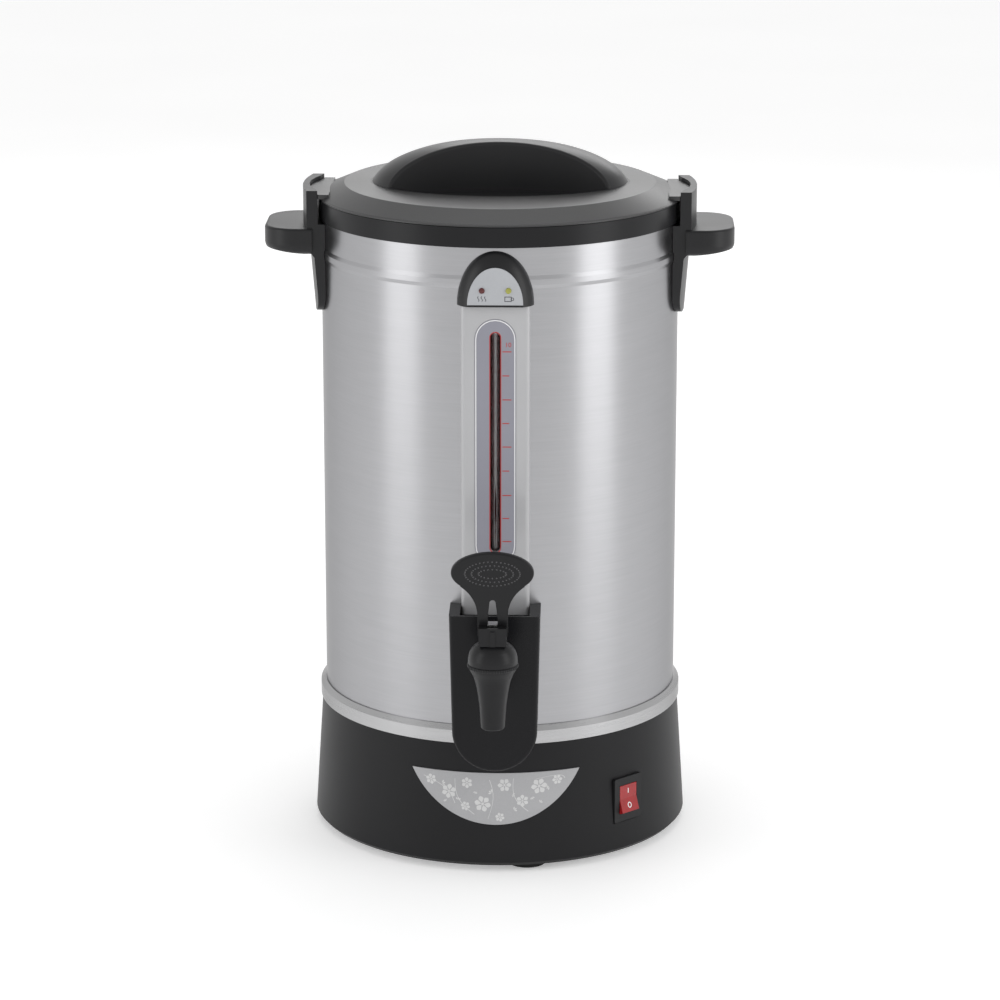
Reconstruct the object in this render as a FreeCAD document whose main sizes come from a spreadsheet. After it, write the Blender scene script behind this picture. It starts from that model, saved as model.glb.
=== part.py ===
"""Hot water urn: a double-walled steel boiler on a black base, with a tap, a sight gauge and a lid.

Units are millimetres. +Z is up and the front with the tap faces -Y. Pieces are drawn about the urn's
own axis, then carried back so that the origin is on the floor under the middle of the whole urn,
tap included.
"""
import FreeCAD
import Part
import math
import os
import re
import Sketcher
from FreeCAD import Placement, Rotation, Vector

SIZES = [
    ("axis_set_back", 38.13, "the urn's own axis behind the middle of the whole"),
    ("shell_radius", 120.0, "outside of the steel outer wall"),
    ("shell_wall", 0.8, "outer wall sheet"),
    ("shell_high", 337.6, "height of the outer wall"),
    ("bead_drop", 30.8, "bead's lower edge below the wall's top"),
    ("bead_tall", 8.6, "height of the bead"),
    ("bead_depth", 0.8, "how far the bead stands out"),
    ("bead_slope", 2.5, "height of each sloping side of the bead"),
    ("skin_gap", 0.15, "clearance between the wall and what is fixed on it"),
    ("base_low", 4.0, "lower edge of the base housing"),
    ("base_top", 88.4, "top of the base housing, where the outer wall stands"),
    ("base_shoulder", 2.6, "how far the base's top stands out of the wall"),
    ("base_spread", 5.5, "how much the base widens to its foot"),
    ("base_edge", 2.5, "rounding at the foot of the base housing"),
    ("base_wall", 2.8, "base housing wall"),
    ("ledge_thick", 3.0, "ledge that carries the outer wall"),
    ("ledge_reach", 16.0, "how far the ledge reaches inside the wall's outside"),
    ("boss_radius", 4.5, "screw bosses under the ledge"),
    ("boss_inset", 10.6, "screw bosses inside the base's top edge"),
    ("boss_angle", 20.0, "angle of the first boss from +X"),
    ("boss_count", 4, "screw bosses"),
    ("plate_low", 6.2, "underside of the base plate"),
    ("plate_thick", 1.2, "base plate sheet"),
    ("plate_gap", 0.4, "gap round the base plate"),
    ("vent_count", 12, "cooling slots in the base plate"),
    ("vent_long", 22.0, "length of a cooling slot"),
    ("vent_wide", 4.0, "width of a cooling slot"),
    ("vent_inner", 50.0, "inner end of a cooling slot"),
    ("foot_radius", 13.5, "rubber foot"),
    ("foot_inset", 19.5, "feet inside the base's foot edge"),
    ("foot_angle", -79.0, "angle of the first foot from +X"),
    ("foot_taper", 1.0, "draft of a foot"),
    ("screw_radius", 1.6, "thread of the small screws"),
    ("screw_head_radius", 3.4, "head of the small screws"),
    ("screw_head_high", 2.4, "head height of the small screws"),
    ("screw_long", 12.0, "length of the base screws"),
    ("screw_gap", 0.05, "clearance round a screw"),
    ("band_proud", 3.8, "how far the band stands out"),
    ("band_high", 11.8, "height of the band"),
    ("band_shoulder", 3.2, "height of the band's sloping shoulder"),
    ("insulation", 11.5, "air gap from the wall's outside to the tank's"),
    ("tank_wall", 0.8, "tank sheet"),
    ("tank_rise", 15.6, "tank's underside above the base"),
    ("tank_corner", 6.0, "sloping corner of the tank floor"),
    ("tank_lip_inset", 1.0, "tank's rim inside the wall's outside"),
    ("collar_proud", 1.6, "how far the collar stands out"),
    ("collar_skirt", 3.7, "collar's skirt below the wall's top"),
    ("collar_rise", 9.4, "collar above the wall's top"),
    ("collar_lip_wall", 2.0, "collar's mouth inside the tank's outside"),
    ("collar_lip_deep", 7.0, "collar's inner lip below the wall's top"),
    ("handle_half_width", 33.4, "half the width of a handle's leg and post"),
    ("leg_drop", 66.0, "leg's lower end below the wall's top"),
    ("leg_thin", 4.2, "leg's thickness at its lower end"),
    ("leg_thick", 7.2, "leg's thickness under the grip"),
    ("knee_drop", 28.0, "where the leg is full, below the wall's top"),
    ("post_proud", 11.9, "how far the post stands out"),
    ("post_drop", 22.0, "where the post is full, below the wall's top"),
    ("post_rise", 7.6, "post above the collar"),
    ("handle_channel", 3.2, "gap between the collar and the post"),
    ("channel_drop", 1.9, "floor of the gap below the collar's skirt"),
    ("handle_leg_round", 14.0, "rounding of the leg's lower corners"),
    ("notch_radius", 60.0, "curve of the notch for the lid's ear"),
    ("notch_deep", 7.6, "notch's deepest point outside the wall"),
    ("notch_drop", 1.4, "notch's floor below the collar's top"),
    ("grip_long", 25.1, "grip beyond the post"),
    ("grip_half_width", 35.5, "half the width of the grip"),
    ("grip_drop", 26.3, "grip's underside below the wall's top"),
    ("grip_thick", 17.9, "thickness of the grip at the post"),
    ("grip_tip_rise", 3.6, "how much the underside rises from post to tip"),
    ("grip_corner", 21.0, "plan rounding of the grip"),
    ("grip_under_round", 7.0, "rounding under the grip"),
    ("grip_top_round", 1.8, "rounding on top of the grip"),
    ("low_screw_drop", 45.0, "lower handle screw below the wall's top"),
    ("high_screw_drop", 15.0, "upper handle screw below the wall's top"),
    ("handle_screw_long", 3.6, "how far a handle screw reaches into the handle"),
    ("hood_half_width", 24.9, "half the width of the lamp hood"),
    ("hood_drop", 40.8, "hood's lower edge below the wall's top"),
    ("hood_gap", 1.7, "hood's top below the collar's skirt"),
    ("hood_depth", 15.1, "depth of the hood's curve"),
    ("hood_sink", 2.0, "middle of the hood's curve inside the wall"),
    ("hood_proud", 8.6, "how far the hood stands out"),
    ("panel_half_width", 18.0, "half the width of the lamp panel"),
    ("panel_high", 24.3, "height of the lamp panel"),
    ("panel_rise", 1.4, "lower edge of the panel above the hood's edge"),
    ("panel_thick", 0.8, "lamp panel"),
    ("panel_proud", 0.2, "how far the panel stands out"),
    ("lamp_radius", 1.9, "lamp lens"),
    ("lamp_spread", 8.55, "sideways place of each lamp"),
    ("lamp_rise", 10.8, "lamps above the hood's lower edge"),
    ("lamp_proud", 1.0, "how far a lens stands out of the panel"),
    ("lamp_long", 10.0, "length of a lamp"),
    ("cover_half_width", 22.4, "half the width of the gauge cover"),
    ("cover_proud", 4.5, "how far the gauge cover stands out"),
    ("cover_overlap", 5.8, "gauge cover's foot inside the tap cover"),
    ("cover_round", 2.9, "rounded long edges of the gauge cover"),
    ("scale_half_width", 13.3, "half the width of the scale plate"),
    ("scale_foot_gap", 27.8, "scale plate above the tap cover"),
    ("scale_top_gap", 8.7, "scale plate below the hood"),
    ("scale_thick", 0.9, "scale plate"),
    ("scale_proud", 0.25, "how far the scale plate stands out"),
    ("scale_gap", 0.1, "gap round the scale plate"),
    ("window_half_width", 3.3, "half the width of the gauge window"),
    ("window_foot", 9.0, "window's lower end above the plate's"),
    ("window_head", 8.8, "window's upper end below the plate's"),
    ("tube_radius", 4.0, "sight tube"),
    ("tube_bore", 3.0, "bore of the sight tube"),
    ("tube_gap", 0.2, "gap round the sight tube"),
    ("tube_sink", 2.5, "sight tube's middle inside the wall's outside"),
    ("tube_rise", 14.5, "sight tube's foot above the shank"),
    ("tube_top_gap", 3.2, "sight tube's top below the hood's edge"),
    ("seal_radius", 5.4, "seals of the sight tube"),
    ("seal_high", 5.0, "height of each seal"),
    ("slot_half_width", 6.0, "half the width of the slot in the wall behind the gauge"),
    ("trough_half_width", 5.6, "half the width of the red trough behind the tube"),
    ("trough_deep", 5.3, "back of the trough behind the tube's middle"),
    ("trough_wall", 0.6, "trough sheet"),
    ("trough_foot_gap", 4.0, "trough above the tee"),
    ("trough_head_gap", 0.5, "trough's top below the scale plate's"),
    ("tee_half_width", 11.0, "half the width of the gauge tee"),
    ("tee_drop", 12.0, "tee below the shank"),
    ("tee_rise", 25.0, "tee above the shank"),
    ("tee_deep", 8.0, "back of the tee inside the wall's outside"),
    ("guard_rise", 33.2, "tap cover above the shank"),
    ("guard_drop", 73.6, "tap cover below the shank"),
    ("guard_proud", 28.2, "how far the tap cover stands out"),
    ("guard_half_top", 29.8, "half the width of the tap cover at its top"),
    ("guard_half_low", 28.0, "half the width where the lower curve starts"),
    ("guard_wall", 2.5, "front wall of the tap cover"),
    ("guard_round", 3.0, "rounding of the tap cover's front edge"),
    ("guard_pocket_gap", 0.3, "gap between the gauge cover and the tap cover"),
    ("guard_floor", 20.0, "solid height at the foot of the tap cover"),
    ("tap_stand_off", 39.8, "tap's own axis in front of its cover"),
    ("spout_drop", 29.4, "spout's mouth below the shank"),
    ("tap_mouth_radius", 7.8, "outside of the spout's mouth"),
    ("tap_head_radius", 16.0, "widest part of the tap"),
    ("tap_joint_rise", 14.2, "tap body's top above the shank"),
    ("tap_joint_gap", 0.3, "joint line between body and bonnet"),
    ("spout_bore", 5.2, "bore of the spout"),
    ("seat_drop", 4.7, "chamber's floor below the shank"),
    ("seat_lip_high", 0.8, "raised lip of the valve seat"),
    ("seat_lip_wall", 1.0, "width of the seat's lip"),
    ("seat_gap", 0.05, "gap under the seat cup at rest"),
    ("chamber_radius", 8.4, "valve chamber"),
    ("bonnet_high", 13.4, "bonnet's top above the body's"),
    ("bonnet_neck_radius", 8.2, "top of the bonnet"),
    ("bonnet_edge", 1.2, "straight edge under the bonnet's dome"),
    ("bonnet_cavity_radius", 6.6, "spring space in the bonnet"),
    ("bonnet_roof", 4.6, "bonnet's roof"),
    ("bonnet_spigot", 3.4, "how far the bonnet reaches into the body"),
    ("bonnet_spigot_gap", 0.2, "gap round the bonnet's spigot"),
    ("stem_radius", 2.5, "valve stem"),
    ("stem_gap", 0.08, "running gap round the stem"),
    ("cup_radius", 7.6, "seat cup"),
    ("cup_high", 6.2, "height of the seat cup"),
    ("cup_floor", 2.2, "rubber under the stem"),
    ("spring_radius", 5.0, "middle of the spring's wire"),
    ("spring_wire", 0.5, "radius of the spring's wire"),
    ("spring_turns", 6, "turns of the spring"),
    ("pin_rise", 5.8, "lever's pin above the bonnet"),
    ("pin_radius", 1.5, "lever pin"),
    ("pin_gap", 0.05, "running gap round the pin"),
    ("blade_half_width", 3.0, "half the width of the stem's head"),
    ("blade_half_depth", 4.0, "half the depth of the stem's head"),
    ("blade_rise", 7.6, "stem's head above the pin"),
    ("blade_gap", 0.3, "gap beside the stem's head"),
    ("heel_half_width", 8.9, "half the width of the lever's heel"),
    ("heel_front", 9.5, "heel in front of the pin"),
    ("heel_back", 6.0, "heel behind the pin"),
    ("heel_high", 6.5, "heel above the pin"),
    ("heel_front_wall", 2.0, "front wall of the heel"),
    ("heel_rib_half_width", 1.6, "half the width of the rib on the heel"),
    ("heel_rib_proud", 0.8, "how far the rib stands out"),
    ("heel_gap", 0.3, "gap under the heel at rest"),
    ("lever_lean", 12.0, "forward lean of the lever in degrees"),
    ("lever_thick", 4.0, "thickness of the lever's plate"),
    ("neck_half_width", 9.75, "half the width of the lever's neck"),
    ("flare_radius", 26.0, "concave side of the neck"),
    ("flare_start", 14.6, "height above the pin where the neck flares"),
    ("flare_half_width", 20.4, "half the width where the neck meets the paddle"),
    ("fork_top", 24.0, "top of the hole in the neck"),
    ("fork_top_radius", 1.9, "rounding at the top of that hole"),
    ("fork_straight", 12.0, "straight height of that hole"),
    ("paddle_half_width", 26.4, "half the width of the paddle"),
    ("paddle_half_high", 14.5, "half the height of the paddle"),
    ("paddle_centre", 44.8, "middle of the paddle above the pin"),
    ("shank_radius", 8.0, "threaded shank of the tap"),
    ("shank_bore", 4.5, "bore of the shank"),
    ("shank_rise", 47.0, "shank above the tank's underside"),
    ("shank_inside", 12.5, "shank's end inside the tank"),
    ("shank_gap", 0.2, "gap round the shank"),
    ("flange_radius", 13.0, "flange of the shank on the tap cover"),
    ("flange_thick", 4.0, "flange of the shank"),
    ("nut_radius", 13.0, "corner radius of the shank's nut"),
    ("nut_thick", 5.0, "shank's nut"),
    ("washer_radius", 12.5, "silicone washers on the shank"),
    ("washer_inside", 4.5, "inner washer's flat face inside the tank"),
    ("badge_drop", 19.8, "badge's straight edge below the base's top"),
    ("badge_half_width", 55.6, "half the width of the badge, seen from the front"),
    ("badge_high", 35.4, "height of the badge"),
    ("badge_thick", 0.7, "badge sheet"),
    ("badge_gap", 0.1, "glue line behind the badge"),
    ("switch_angle", 44.3, "place of the switch round the base, from the front"),
    ("switch_level", 40.1, "height of the switch"),
    ("seat_cut", 1.0475, "depth of the switch's flat seat in the base wall"),
    ("bezel_half_width", 12.6, "half the width of the switch bezel"),
    ("bezel_half_high", 15.4, "half the height of the switch bezel"),
    ("bezel_proud", 2.2, "thickness of the switch bezel"),
    ("bezel_round", 1.2, "rounded corners of the bezel"),
    ("bezel_seat_gap", 0.4, "gap round the bezel in its flat seat"),
    ("switch_half_width", 10.6, "half the width of the switch body"),
    ("switch_half_high", 13.4, "half the height of the switch body"),
    ("switch_deep", 21.0, "depth of the switch body"),
    ("switch_fit", 0.25, "gap round the switch body in the wall"),
    ("rocker_half_width", 7.7, "half the width of the rocker"),
    ("rocker_radius", 9.75, "swing radius of the rocker's ends"),
    ("rocker_gap", 0.35, "gap round the rocker"),
    ("rocker_tilt", 9.0, "tilt of the rocker to each side, in degrees"),
    ("rocker_centre", 1.5, "valley of the rocker in front of its pivot"),
    ("rocker_back", 3.5, "back of the rocker behind its pivot"),
    ("rocker_pin", 1.2, "radius of the rocker's pivot"),
    ("inlet_drop", 0.1, "power inlet below the switch's height"),
    ("inlet_half_width", 15.4, "half the width of the inlet's frame"),
    ("inlet_half_high", 11.8, "half the height of the inlet's frame"),
    ("inlet_body_half_width", 13.5, "half the width of the inlet's body"),
    ("inlet_body_half_high", 9.9, "half the height of the inlet's body"),
    ("inlet_deep", 19.0, "depth of the inlet's body"),
    ("socket_half_width", 11.8, "half the width of the socket"),
    ("socket_half_high", 8.0, "half the height of the socket"),
    ("socket_deep", 16.5, "depth of the socket"),
    ("pin_blade_half_width", 1.0, "half the thickness of a mains pin"),
    ("pin_blade_half_high", 2.0, "half the height of a mains pin"),
    ("pin_blade_short", 6.0, "how far a mains pin ends behind the mouth"),
    ("pin_blade_tail", 8.0, "tag behind the inlet"),
    ("pin_blade_spread", 7.0, "sideways place of the outer mains pins"),
    ("pin_blade_drop", 1.6, "drop of the outer pins, rise of the middle one"),
    ("reset_angle", 152.0, "place of the reset button round the base"),
    ("reset_level", 30.0, "height of the reset button"),
    ("reset_radius", 3.5, "reset button"),
    ("reset_gap", 0.25, "gap round the reset button"),
    ("reset_proud", 2.6, "how far the button stands out of its bush"),
    ("reset_bush_radius", 6.5, "face of the reset bush"),
    ("reset_bush_thick", 1.6, "face of the reset bush"),
    ("reset_body_radius", 5.2, "body of the reset bush in the wall"),
    ("reset_body_deep", 14.0, "depth of the reset bush"),
    ("reset_button_deep", 9.0, "length of the button inside the bush"),
    ("heater_inset", 20.5, "heater plate inside the tank's outside"),
    ("heater_thick", 4.0, "heater plate"),
    ("heater_gap", 0.1, "gap between pieces clamped under the tank"),
    ("element_inset", 24.0, "element's ring inside the heater plate's edge"),
    ("element_radius", 4.0, "heating element"),
    ("element_tail_radius", 2.4, "cold ends of the element"),
    ("element_tail_long", 16.0, "length of the cold ends"),
    ("element_tail_spread", 9.0, "sideways place of the cold ends"),
    ("clixon_radius", 9.5, "thermostat bodies"),
    ("clixon_high", 8.0, "height of the thermostats"),
    ("clixon_spread", 30.0, "sideways place of the thermostats"),
    ("tie_inset", 12.0, "tie rods inside the heater plate's edge"),
    ("tie_count", 3, "tie rods"),
    ("tie_radius", 2.5, "tie rod"),
    ("tie_nut_radius", 4.6, "corner radius of a tie rod's nut"),
    ("tie_nut_high", 3.6, "tie rod's nut"),
    ("block_half_long", 20.0, "half the length of the terminal block"),
    ("block_half_wide", 8.0, "half the width of the terminal block"),
    ("block_high", 14.0, "height of the terminal block"),
    ("block_back", 62.0, "terminal block behind the axis"),
    ("block_screw_pitch", 12.0, "pitch of the terminal screws"),
    ("earth_reach", 84.0, "earth stud from the axis, to the left"),
    ("earth_radius", 2.0, "earth stud"),
    ("earth_high", 12.0, "earth stud"),
    ("lid_overhang", 0.5, "lid's rim beyond the collar"),
    ("lid_gap", 0.5, "dark joint line over the collar"),
    ("lid_rim_high", 0.9, "height of the rim's edge"),
    ("lid_slope_start", 1.1, "how far the slope starts inside the rim"),
    ("lid_slope_wide", 17.8, "width of the lid's sloping rim"),
    ("lid_rise", 9.1, "lid's flat above the collar"),
    ("lid_wall", 2.4, "lid wall"),
    ("lid_rim_wide", 5.3, "width of the rim's underside"),
    ("ear_rise", 2.0, "ear's underside above the collar"),
    ("ear_thick", 3.0, "thickness of an ear"),
    ("ear_gap", 0.4, "gap between an ear and its handle"),
    ("well_inset", 17.7, "well's end inside the lid's flat"),
    ("well_half_wide", 59.5, "half the width of the finger well"),
    ("well_depth", 5.2, "depth of the finger well"),
    ("well_wall", 2.0, "wall of the finger well"),
    ("well_gap", 0.15, "gap round the finger well's rim"),
    ("well_flange", 2.6, "flange of the grip under the lid's skin"),
    ("grip_rise", 27.9, "lid's grip above the flat"),
    ("scoop_radius", 134.6, "curve of the scoops beside the ridge"),
    ("ridge_half_thick", 9.4, "half the thickness of the ridge in the middle"),
    ("scoop_round", 2.0, "rounding of the ridge's edge"),
    ("liner_deep", 11.4, "liner's underside below the collar's top"),
    ("liner_play", 0.9, "gap between the liner and the collar's mouth"),
    ("liner_taper", 7.6, "narrowing of the liner to its floor"),
    ("liner_rise", 8.0, "height of the liner's slope"),
    ("liner_lip_wide", 9.0, "liner's lip beyond the collar's mouth"),
    ("liner_wall", 0.8, "liner sheet"),
    ("gasket_offset", 0.9, "gasket's inside beyond the collar's mouth"),
    ("gasket_inset", 2.5, "gasket's outside inside the liner's lip"),
    ("gasket_high", 1.0, "gasket under the liner's lip"),
    ("gasket_gap", 0.05, "gap above and below the gasket"),
    ("lid_post_radius", 4.0, "screw posts under the grip"),
    ("lid_post_long", 45.0, "screw posts, place along the grip"),
    ("lid_post_wide", 14.0, "screw posts, place across the grip"),
    ("fine_gap", 0.02, "gap of faces that are clamped together"),
]
# places that follow from the sizes above
DERIVED = [
    ("tank_radius", "shell_radius - insulation", "outside of the inner tank"),
    ("base_top_radius", "shell_radius + base_shoulder", "base housing at its top"),
    ("base_foot_radius", "base_top_radius + base_spread", "base housing at its foot"),
    ("ledge_inner_radius", "shell_radius - ledge_reach", "hole in the ledge"),
    ("boss_ring_radius", "base_top_radius - boss_inset", "circle of the screw bosses"),
    ("foot_ring_radius", "base_foot_radius - foot_inset", "circle of the feet"),
    ("band_radius", "shell_radius + band_proud", "steel band at the foot of the wall"),
    ("tank_lip", "shell_radius - tank_lip_inset", "rim of the tank, on top of the outer wall"),
    ("collar_radius", "shell_radius + collar_proud", "top collar"),
    ("collar_bore", "tank_radius - collar_lip_wall", "mouth of the collar"),
    ("handle_leg_radius", "shell_radius + leg_thin", "outside of the leg at its lower end"),
    ("handle_knee_radius", "shell_radius + leg_thick", "outside of the leg under the grip"),
    ("handle_post_radius", "shell_radius + post_proud", "outside of the post"),
    ("grip_reach", "handle_post_radius + grip_long", "tip of a handle's grip"),
    ("notch_reach", "shell_radius + notch_deep", "deepest point of the notch"),
    ("hood_back", "shell_radius - hood_sink", "distance of the curve's middle from the axis"),
    ("hood_front", "shell_radius + hood_proud", "flat face of the hood"),
    ("cover_front", "shell_radius + cover_proud", "front face of the gauge cover"),
    ("tube_reach", "shell_radius - tube_sink", "distance of the sight tube from the axis"),
    ("trough_back", "tube_reach - trough_deep", "back of the trough"),
    ("tee_back", "shell_radius - tee_deep", "back of the tee"),
    ("guard_front", "shell_radius + guard_proud", "front face of the tap cover"),
    ("tap_reach", "guard_front + tap_stand_off", "distance of the tap's own axis from the urn's axis"),
    ("shank_end", "tank_radius - shank_inside", "inner end of the shank from the urn's axis"),
    ("washer_inner_face", "tank_radius - washer_inside", "flat face of the inner washer from the axis"),
    ("heater_radius", "tank_radius - heater_inset", "heater plate under the tank"),
    ("element_ring_radius", "heater_radius - element_inset", "ring of the heating element"),
    ("tie_ring_radius", "heater_radius - tie_inset", "circle of the tie rods"),
    ("lid_radius", "collar_radius + lid_overhang", "rim of the lid"),
    ("lid_flat_radius", "lid_radius - lid_slope_wide", "outer edge of the lid's flat"),
    ("lid_skirt_inner", "lid_radius - lid_rim_wide", "inside of the lid's rim"),
    ("liner_radius", "collar_bore - liner_play", "liner inside the collar"),
    ("liner_floor_radius", "liner_radius - liner_taper", "flat floor of the liner"),
    ("liner_lip", "collar_bore + liner_lip_wide", "lip of the liner"),
    ("gasket_inner", "collar_bore + gasket_offset", "inside of the lid's gasket"),
    ("gasket_outer", "liner_lip - gasket_inset", "outside of the lid's gasket"),
    ("well_half_long", "lid_flat_radius - well_inset", "half the length of the finger well"),
    ("shell_top", "base_top + shell_high", "top edge of the outer wall, inside the collar"),
    ("bead_low", "shell_top - bead_drop", "lower edge of the rolled bead"),
    ("bead_high", "bead_low + bead_tall", "upper edge of the rolled bead"),
    ("tank_floor", "base_top + tank_rise", "underside of the tank"),
    ("collar_low", "shell_top - collar_skirt", "lower edge of the collar"),
    ("collar_high", "shell_top + collar_rise", "top of the collar"),
    ("collar_lip_low", "shell_top - collar_lip_deep", "collar's lip inside the tank"),
    ("handle_low", "shell_top - leg_drop", "lower end of a handle's leg"),
    ("handle_knee", "shell_top - knee_drop", "height where the leg thickens"),
    ("handle_post_low", "shell_top - post_drop", "height where the post is full"),
    ("handle_top", "collar_high + post_rise", "top of the post"),
    ("handle_channel_low", "collar_low - channel_drop", "floor of the gap beside the collar"),
    ("notch_low", "collar_high - notch_drop", "floor of the notch"),
    ("grip_low", "shell_top - grip_drop", "underside of the grip"),
    ("grip_top", "grip_low + grip_thick", "top of the grip"),
    ("handle_screw_low", "shell_top - low_screw_drop", "height of the lower handle screw"),
    ("handle_screw_high", "shell_top - high_screw_drop", "height of the upper handle screw"),
    ("hood_low", "shell_top - hood_drop", "lower edge of the hood"),
    ("hood_high", "collar_low - hood_gap", "top of the hood"),
    ("lamp_level", "hood_low + lamp_rise", "height of the lamps"),
    ("shank_level", "tank_floor + shank_rise", "height of the shank"),
    ("guard_top", "shank_level + guard_rise", "top of the tap cover"),
    ("guard_low", "shank_level - guard_drop", "lowest point of the tap cover"),
    ("cover_low", "guard_top - cover_overlap", "lower end of the gauge cover, inside the tap cover"),
    ("scale_high", "hood_low - scale_top_gap", "upper end of the scale plate"),
    ("scale_low", "guard_top + scale_foot_gap", "lower end of the scale plate"),
    ("window_low", "scale_low + window_foot", "lower end of the window"),
    ("window_high", "scale_high - window_head", "upper end of the window"),
    ("tee_low", "shank_level - tee_drop", "underside of the tee"),
    ("tee_high", "shank_level + tee_rise", "top of the tee"),
    ("tube_low", "shank_level + tube_rise", "lower end of the sight tube"),
    ("tube_high", "hood_low - tube_top_gap", "upper end of the sight tube"),
    ("trough_low", "tee_high + trough_foot_gap", "lower end of the trough"),
    ("trough_high", "scale_high - trough_head_gap", "upper end of the trough"),
    ("tap_low", "shank_level - spout_drop", "mouth of the spout"),
    ("tap_joint", "shank_level + tap_joint_rise", "top of the tap body"),
    ("seat_level", "shank_level - seat_drop", "floor of the valve chamber"),
    ("bonnet_top", "tap_joint + bonnet_high", "top of the bonnet"),
    ("bonnet_cavity_top", "bonnet_top - bonnet_roof", "top of the spring space"),
    ("pin_level", "bonnet_top + pin_rise", "height of the lever's pin"),
    ("blade_top", "pin_level + blade_rise", "top of the stem's head"),
    ("badge_chord_level", "base_top - badge_drop", "straight top edge of the badge"),
    ("inlet_level", "switch_level - inlet_drop", "height of the power inlet"),
    ("lid_flat", "collar_high + lid_rise", "height of the lid's flat"),
    ("ear_low", "collar_high + ear_rise", "underside of an ear"),
    ("ear_high", "ear_low + ear_thick", "top of an ear"),
    ("dome_top", "lid_flat + grip_rise", "top of the lid's grip"),
    ("liner_low", "collar_high - liner_deep", "underside of the lid's steel liner"),
    ("switch_flat",
     "base_foot_radius - (switch_level - base_low) * base_spread / (base_top - base_low) - seat_cut",
     "flat seat of the switch from the axis"),
]

doc = FreeCAD.newDocument("hot_water_urn")
sheet = doc.addObject("Spreadsheet::Sheet", "Sizes")
for row, (alias, size, meaning) in enumerate(SIZES + DERIVED, start=1):
    sheet.set(f"A{row}", meaning)
    sheet.set(f"B{row}", f"={size}" if isinstance(size, str) else str(size))
    sheet.setAlias(f"B{row}", alias)
    sheet.recompute()
doc.recompute()

NAMES = {alias for alias, size, meaning in SIZES + DERIVED}
WORD = re.compile(r"[a-z][a-z0-9_]*")
FULL_TURN = 360
DOME_STEPS = 10
# how much of the spout's height, then of its widening, is reached from the mouth up
SPOUT_FLARE = ((0.335, 0.11), (0.45, 0.18), (0.54, 0.256), (0.62, 0.325), (0.695, 0.41), (0.75, 0.49),
               (0.80, 0.585), (0.84, 0.68), (0.875, 0.78), (0.91, 0.88), (0.945, 0.96))
SUBPARTS = []
AXES = {
    "x": Rotation(Vector(0, 1, 0), 90),
    "y": Rotation(Vector(1, 0, 0), -90),
    "z": Rotation(),
}
FLIP = Rotation(Vector(0, 0, 1), 180)


def linked(text):
    """Expression text with each size name pointed at the sheet."""
    return WORD.sub(lambda word: f"Sizes.{word[0]}" if word[0] in NAMES else word[0], text)


def number(text):
    """Present value of an expression of size names."""
    return float(sheet.evalExpression(text))


def bind(item, **sizes):
    """Tie each named property of an object to an expression of sizes."""
    for name, text in sizes.items():
        setattr(item, name, number(text))
        item.setExpression(name, linked(text))
    return item


def place(item, at, turn=None):
    """Put an object at a point given as three expressions."""
    item.Placement = Placement(Vector(*[number(text) for text in at]), turn or Rotation())
    for letter, text in zip("xyz", at):
        item.setExpression(f"Placement.Base.{letter}", linked(text))
    return item


def box(name, low, high):
    """Block between two corners."""
    item = doc.addObject("Part::Box", name)
    spans = [f"({top}) - ({bottom})" for bottom, top in zip(low, high)]
    bind(item, Length=spans[0], Width=spans[1], Height=spans[2])
    return place(item, low)


def cylinder(name, radius, length, at, along="z"):
    """Round bar from a point along an axis."""
    item = doc.addObject("Part::Cylinder", name)
    bind(item, Radius=radius, Height=length)
    return place(item, at, AXES[along])


def cone(name, radius_low, radius_high, length, at):
    item = doc.addObject("Part::Cone", name)
    bind(item, Radius1=radius_low, Radius2=radius_high, Height=length)
    return place(item, at)


def hexagon(name, radius, length, at, along="z"):
    item = doc.addObject("Part::Prism", name)
    item.Polygon = 6
    bind(item, Circumradius=radius, Height=length)
    return place(item, at, AXES[along])


def ellipsoid(name, half_x, half_y, half_z, at):
    item = doc.addObject("Part::Ellipsoid", name)
    bind(item, Radius1=half_z, Radius2=half_x, Radius3=half_y)
    item.Angle1 = -90
    item.Angle2 = 90
    item.Angle3 = FULL_TURN
    return place(item, at)


def oval_bar(name, half_long, half_short, length, at, direction, turn):
    """Bar of elliptical section; turn carries the ellipse from the XY plane to its own."""
    curve = doc.addObject("Part::Ellipse", name + "_curve")
    bind(curve, MajorRadius=half_long, MinorRadius=half_short)
    place(curve, at, turn)
    item = doc.addObject("Part::Extrusion", name)
    item.Base = curve
    item.DirMode = "Custom"
    item.Dir = direction
    item.Solid = True
    return bind(item, LengthFwd=length)


def fuse(name, *pieces):
    item = doc.addObject("Part::MultiFuse", name)
    item.Shapes = list(pieces)
    return item


def cut(name, base, *tools):
    item = doc.addObject("Part::Cut", name)
    item.Base = base
    item.Tool = tools[0] if len(tools) == 1 else fuse(name + "_tools", *tools)
    return item


def common(name, *pieces):
    item = doc.addObject("Part::MultiCommon", name)
    item.Shapes = list(pieces)
    return item


def group(name, pieces):
    """Several separate solids that share one node."""
    item = doc.addObject("Part::Compound", name)
    item.Links = list(pieces)
    return item


def rounded(name, base, radius, wanted):
    """Round the edges of an object that the test function picks."""
    doc.recompute()
    item = doc.addObject("Part::Fillet", name)
    item.Base = base
    size = number(radius)
    picked = [place + 1 for place, edge in enumerate(base.Shape.Edges) if wanted(edge.BoundBox)]
    item.Edges = [(index, size, size) for index in picked]
    return item


def turned(name, base, angle):
    """Carry a piece built at the front round the urn by an angle expression in degrees."""
    item = group(name, [base])
    item.Placement = Placement(Vector(), Rotation(Vector(0, 0, 1), number(angle)))
    item.setExpression("Placement.Rotation.Angle", linked(angle))
    return item


def origin_plane(body, role):
    return next(item for item in body.Origin.OriginFeatures if item.Role == role)


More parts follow.
